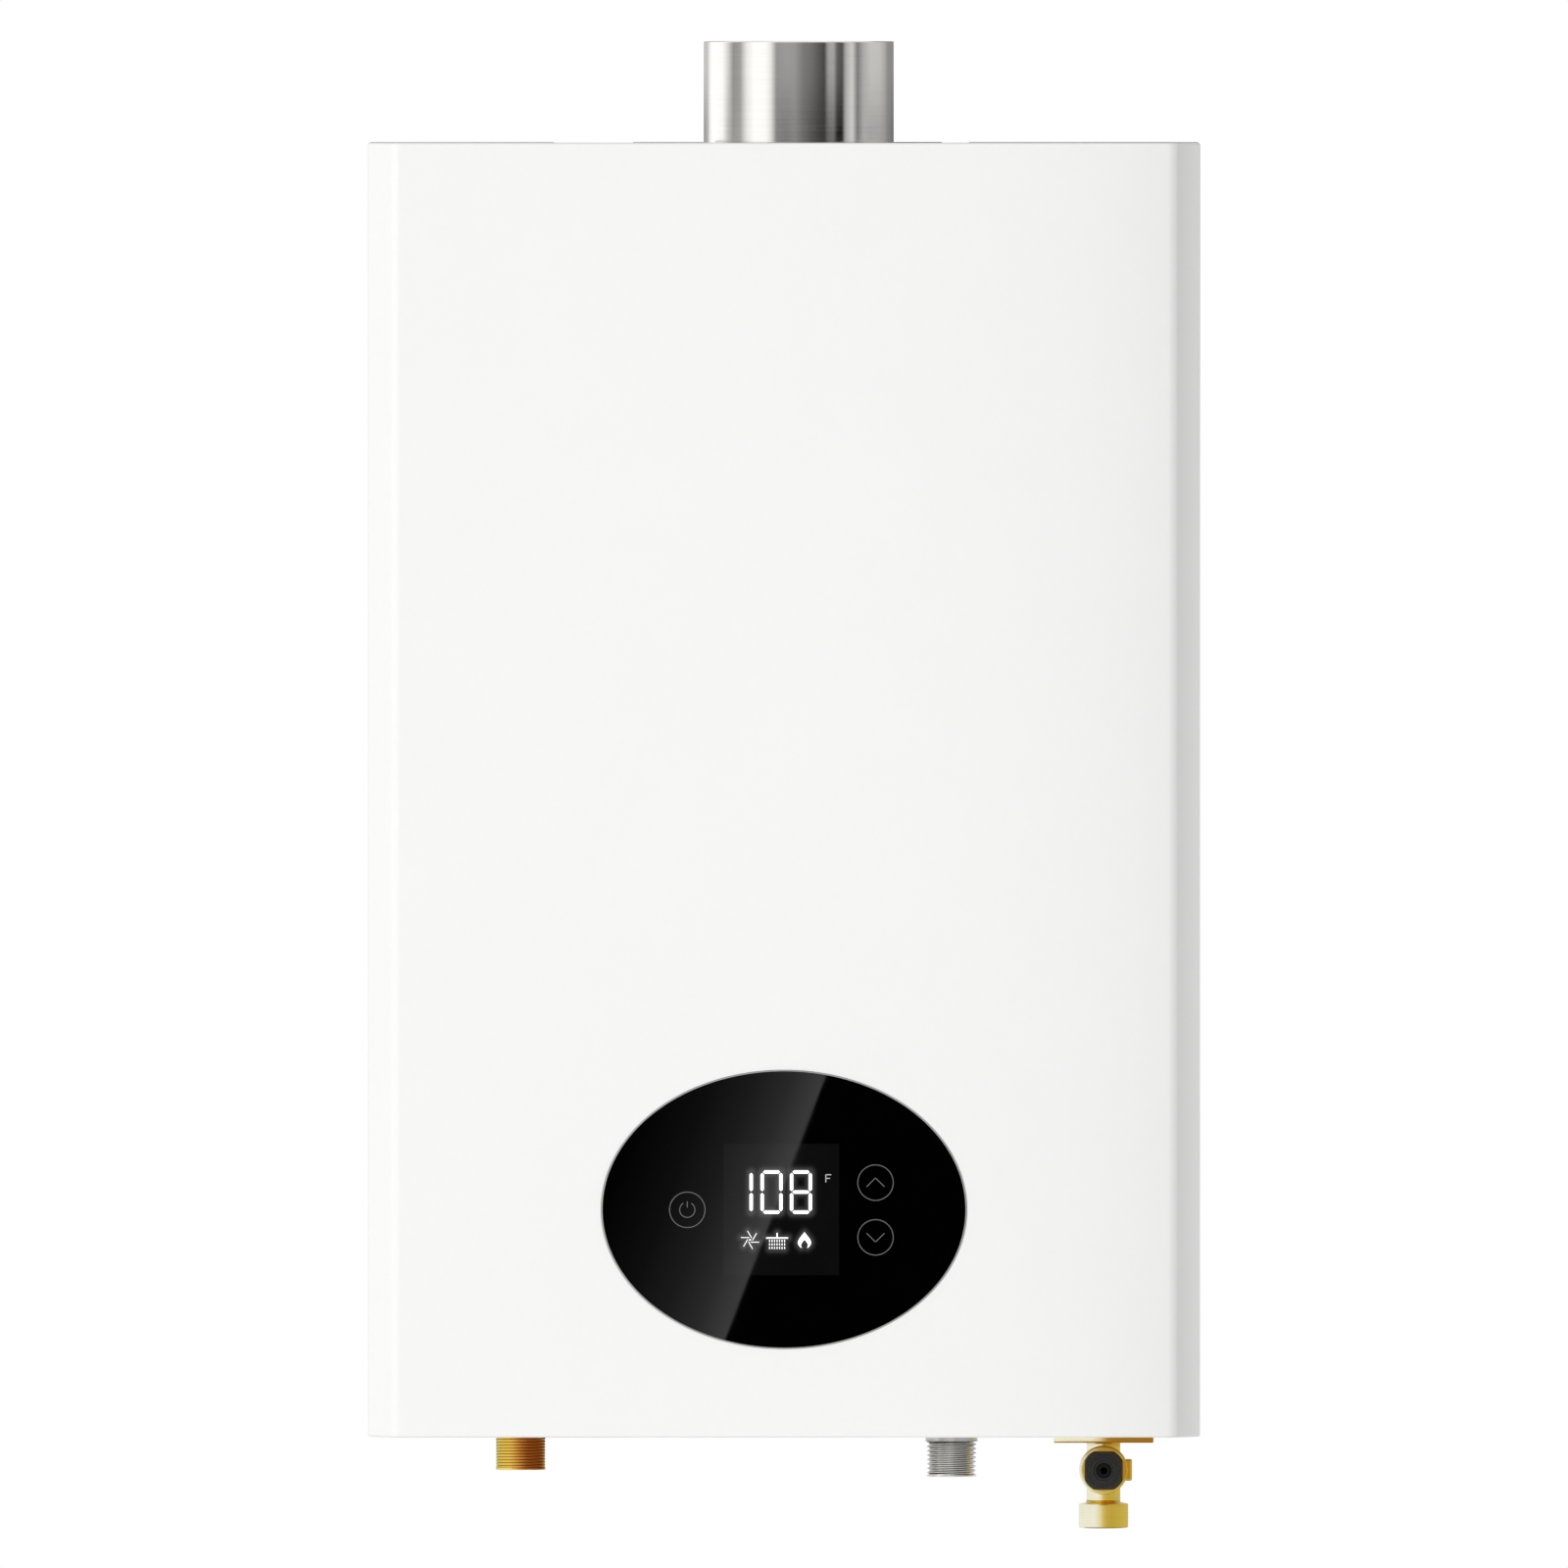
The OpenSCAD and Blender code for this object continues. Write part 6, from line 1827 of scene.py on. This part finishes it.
@dataclass
class Studio:
    """Floor, light, reflector cards and camera.

    Attributes:
        ambient: Level of the room's light on the heater.
        floor_drop: Height of the heater's lowest point above the floor.
        floor_r: Radius of the floor.
        floor_steps: Segments round the floor.
        floor_lift: Glow that keeps the floor pale to the camera.
        elevation_deg: Angle at which the camera looks down.
        camera_far: Distance of the camera.
        view_end: Distance up to which the camera sees.
        frame_w: Width of the picture at the heater.
        aim: Point in the middle of the picture.
        pipe_z: Height of the middle of the cards round the connections.
        drain_card_y: Depth of the card before the drain knob.
        glass_away: Distance of the card before the glass.
        glass_share: Half size of that card, as a share of the glass's size.
        glass_slope: Lean of its bright edge.
        glass_fade_x: Where it is dark, and where its bright edge is, at its middle.
    """

    ambient: float = 0.6
    floor_drop: float = 0.9
    floor_r: float = 6.0
    floor_steps: int = 96
    floor_lift: float = 0.25
    elevation_deg: float = 0.9
    camera_far: float = 25.0
    view_end: float = 100.0
    frame_w: float = 0.6588
    aim: Vector = Vector((0, -0.135, 0.0027))
    pipe_z: float = -0.3085
    drain_card_y: float = -0.096
    glass_away: float = 0.5
    glass_share: float = 0.54
    glass_slope: float = 0.382
    glass_fade_x: Point = (-77 * MM, -3.6 * MM)

    @property
    def eye(self) -> Vector:
        """Place of the camera."""
        tilt = math.radians(self.elevation_deg)
        return self.aim + Vector((0, -math.cos(tilt), math.sin(tilt))) * self.camera_far

    def build(self, shop: Workshop) -> None:
        """Build the whole stage."""
        self._floor(shop)
        self._world()
        self._lamps()
        self._shade_cards()
        self._glass_card()
        self._rings()
        self._camera()
        bpy.context.scene.view_settings.view_transform = "Standard"

    def _floor(self, shop: Workshop) -> None:
        """Lay a plain pale floor well below the heater, near white to the camera and clear from below."""
        blank = Blank()
        bmesh.ops.create_circle(blank.mesh, cap_ends=True, segments=self.floor_steps, radius=self.floor_r,
                                matrix=Matrix.Translation((0, 0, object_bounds()[0].z - self.floor_drop)))
        floor = blank.piece("studio_floor", closed=False)
        material = shop.material(PALE_FLOOR)
        floor.data.materials.append(material)
        floor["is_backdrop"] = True
        tree = material.node_tree
        shader = tree.nodes["Principled BSDF"]
        shader.inputs["Emission Color"].default_value = rgba(grey(1.0))
        lift = add_node(tree, "ShaderNodeMath", {1: self.floor_lift}, operation="MULTIPLY")
        side = add_node(tree, "ShaderNodeNewGeometry")
        clear = add_node(tree, "ShaderNodeBsdfTransparent")
        either = add_node(tree, "ShaderNodeMixShader")
        link = tree.links.new
        link(seen_plainly(tree), lift.inputs[0])
        link(lift.outputs["Value"], shader.inputs["Emission Strength"])
        link(side.outputs["Backfacing"], either.inputs["Fac"])
        link(shader.outputs["BSDF"], either.inputs[1])
        link(clear.outputs["BSDF"], either.inputs[2])
        link(either.outputs["Shader"], tree.nodes["Material Output"].inputs["Surface"])

    def _world(self) -> None:
        """Light the room softly and keep its walls white for camera and reflections."""
        world = bpy.data.worlds.new("studio_room")
        bpy.context.scene.world = world
        world.use_nodes = True
        tree = world.node_tree
        room = tree.nodes["Background"]
        room.inputs["Color"].default_value = rgba(grey(1.0))
        level = add_node(tree, "ShaderNodeMapRange", {"To Min": self.ambient, "To Max": 1.0})
        tree.links.new(seen_plainly(tree), level.inputs["Value"])
        tree.links.new(level.outputs["Result"], room.inputs["Strength"])

    @staticmethod
    def _lamp(name: str, spot: Vector, size: float, level: float) -> None:
        """Hang a square soft lamp that faces the heater and leaves no glare on it.

        Args:
            name: Name of the lamp.
            spot: Its place.
            size: Its width and height.
            level: Light on a surface that faces it, where one shows a colour as it is.
        """
        data = bpy.data.lights.new(name, "AREA")
        data.size = size
        data.energy = level * math.pi ** 2 * spot.length_squared
        lamp = bpy.data.objects.new(name, data)
        lamp.location = spot
        lamp.rotation_euler = (-spot).to_track_quat("-Z", "Y").to_euler()
        lamp.visible_glossy = False
        bpy.context.scene.collection.objects.link(lamp)

    def _lamps(self) -> None:
        """Hang the main lamp at the front left and weak ones on the right and behind."""
        self._lamp("front_left_lamp", Vector((-6.2, -9.9, 1.6)), size=5.6, level=0.487)
        self._lamp("right_lamp", Vector((3.0, -0.6, 0.0)), size=1.4, level=0.1)
        self._lamp("back_lamp", Vector((1.4, 2.4, 0.0)), size=1.4, level=0.18)

    def _shade_cards(self) -> None:
        """Take some light off the front's right side, the cabinet's top and the drain valve."""
        drain = Vector((COLD_X, self.drain_card_y, DRAIN_Z))
        cards = (
            Card("right_shade", Vector((0.19, -0.1675, 0)), (0.35, 0.0225), Stand.FACING_SIDE, grey(0.2),
                 RayKind.DIFFUSE),
            Card("top_shade", Vector((0, -0.02, 0.42)), (0.115, 0.3), Stand.LYING, grey(0.32),
                 RayKind.DIFFUSE),
            Card("knob_shade", drain, (8 * MM, 8 * MM), Stand.FACING_FRONT, grey(0.4)),
            Card("lug_shade", drain + Vector((10.5 * MM, 2 * MM, 0)), (2.4 * MM, 5 * MM),
                 Stand.FACING_FRONT, (0.5, 0.27, 0.03)),
            FlatRing("boss_shade", drain + Vector((0, 1 * MM, 0)), (7.5 * MM, 10.4 * MM), Axis.FRONT,
                     (0.5, 0.34, 0.08)),
        )
        for card in cards:
            card.build()

    def _glass_card(self) -> None:
        """Stand a card in front of the glass whose slanted bright edge the glass mirrors."""
        low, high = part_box("display_glass")
        centre = (low + high) / 2
        y = centre.y - self.glass_away
        z = centre.z - self.glass_away * (self.eye.z - centre.z) / (centre.y - self.eye.y)
        half = ((high.x - low.x) * self.glass_share, (high.z - low.z) * self.glass_share)
        card = Card("glass_card", Vector((centre.x, y, z)), half, Stand.FACING_FRONT)
        material = glowing(card.name)
        tree = material.node_tree
        place = add_node(tree, "ShaderNodeTexCoord")
        parts = add_node(tree, "ShaderNodeSeparateXYZ")
        lean = add_node(tree, "ShaderNodeMath", {1: -self.glass_slope}, operation="MULTIPLY_ADD")
        dark, bright = (x - self.glass_slope * z for x in self.glass_fade_x)
        level = add_node(tree, "ShaderNodeMapRange", {"From Min": dark, "From Max": bright})
        shades = ((0.0, 0.01), (0.35, 0.1), (0.6, 0.26), (0.8, 0.52), (0.99, 1.08), (1.0, 0.0))
        ramp = shade_ramp(tree, [(position, grey(shade)) for position, shade in shades])
        link = tree.links.new
        link(place.outputs["Object"], parts.inputs["Vector"])
        link(parts.outputs["Z"], lean.inputs[0])
        link(parts.outputs["X"], lean.inputs[2])
        link(lean.outputs["Value"], level.inputs["Value"])
        link(level.outputs["Result"], ramp.inputs["Fac"])
        link(ramp.outputs["Color"], tree.nodes["Emission"].inputs["Color"])
        card.build(material)

    def _rings(self) -> None:
        """Stand reflector cards round the collar and round each connection."""
        low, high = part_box("flue_collar")
        y = (low.y + high.y) / 2
        hot, gas, cold = (Vector((x, y, self.pipe_z)) for x in (HOT_X, GAS_X, COLD_X))
        rings = (
            # The roof and base rings are dark cards that only reflections see: painted shade of the cabinet's
            # underside and of the space below the connections.
            FlatRing("gas_roof_shade", gas + Vector((0, 0, 0.0329)), (10.6 * MM, 30 * MM), Axis.UP, grey(0.35)),
            FlatRing("cold_roof_shade", cold + Vector((0, 0, 0.0322)), (7.7 * MM, 31 * MM), Axis.UP,
                     (0.3, 0.16, 0.02)),
            FlatRing("cold_base_shade", cold - Vector((0, 0, 0.025)), (1 * MM, 31 * MM), Axis.UP,
                     (0.34, 0.2, 0.03)),
            ReflectorRing("collar_cards", Vector((COLLAR_X, y, 0.75)), radius=1.3, height=1.14,
                          marks=(0.272, 0.297), shades=COLLAR_SHADES),
            ReflectorRing("hot_cards", hot, radius=0.04, height=0.103, marks=(-0.3, -0.293),
                          shades=HOT_SHADES),
            ReflectorRing("hot_roof_shade", hot + Vector((0, 0, 0.035)), radius=0.04, height=0.0,
                          marks=(-0.3, -0.293), shades=HOT_ROOF_SHADES, inner=10.5 * MM),
            ReflectorRing("gas_cards", gas, radius=0.03, height=0.103, marks=(-0.279, -0.2756),
                          shades=GAS_SHADES),
            ReflectorRing("cold_cards", cold, radius=0.032, height=0.103, marks=(-0.279, -0.276),
                          shades=COLD_SHADES),
            ReflectorRing("nut_cards", cold + Vector((0, 0, 7.95 * MM)), radius=7.45 * MM, height=0.9 * MM,
                          marks=(-0.301, -0.3), shades=NUT_SHADES),
        )
        for ring in rings:
            ring.build()

    def _camera(self) -> None:
        """Set up a long lens in front of the heater, a little above its middle."""
        lens = bpy.data.cameras.new("camera")
        lens.lens = lens.sensor_width * self.camera_far / self.frame_w
        lens.clip_end = self.view_end
        camera = bpy.data.objects.new("camera", lens)
        camera.location = self.eye
        camera.rotation_euler = (self.aim - self.eye).to_track_quat("-Z", "Y").to_euler()
        bpy.context.scene.collection.objects.link(camera)
        bpy.context.scene.camera = camera


def main() -> None:
    """Build every sub-assembly and the stage, in order."""
    logging.basicConfig(level=logging.INFO, format="%(name)s: %(message)s")
    shop = Workshop()
    shop.dress_frame()
    for kind in (Cabinet, Flue, TouchPanel, HotOutlet, GasInlet, ColdInlet, DrainKnob, Fixings):
        kind().build(shop)
    Studio().build(shop)


if __name__ == "__main__":
    main()
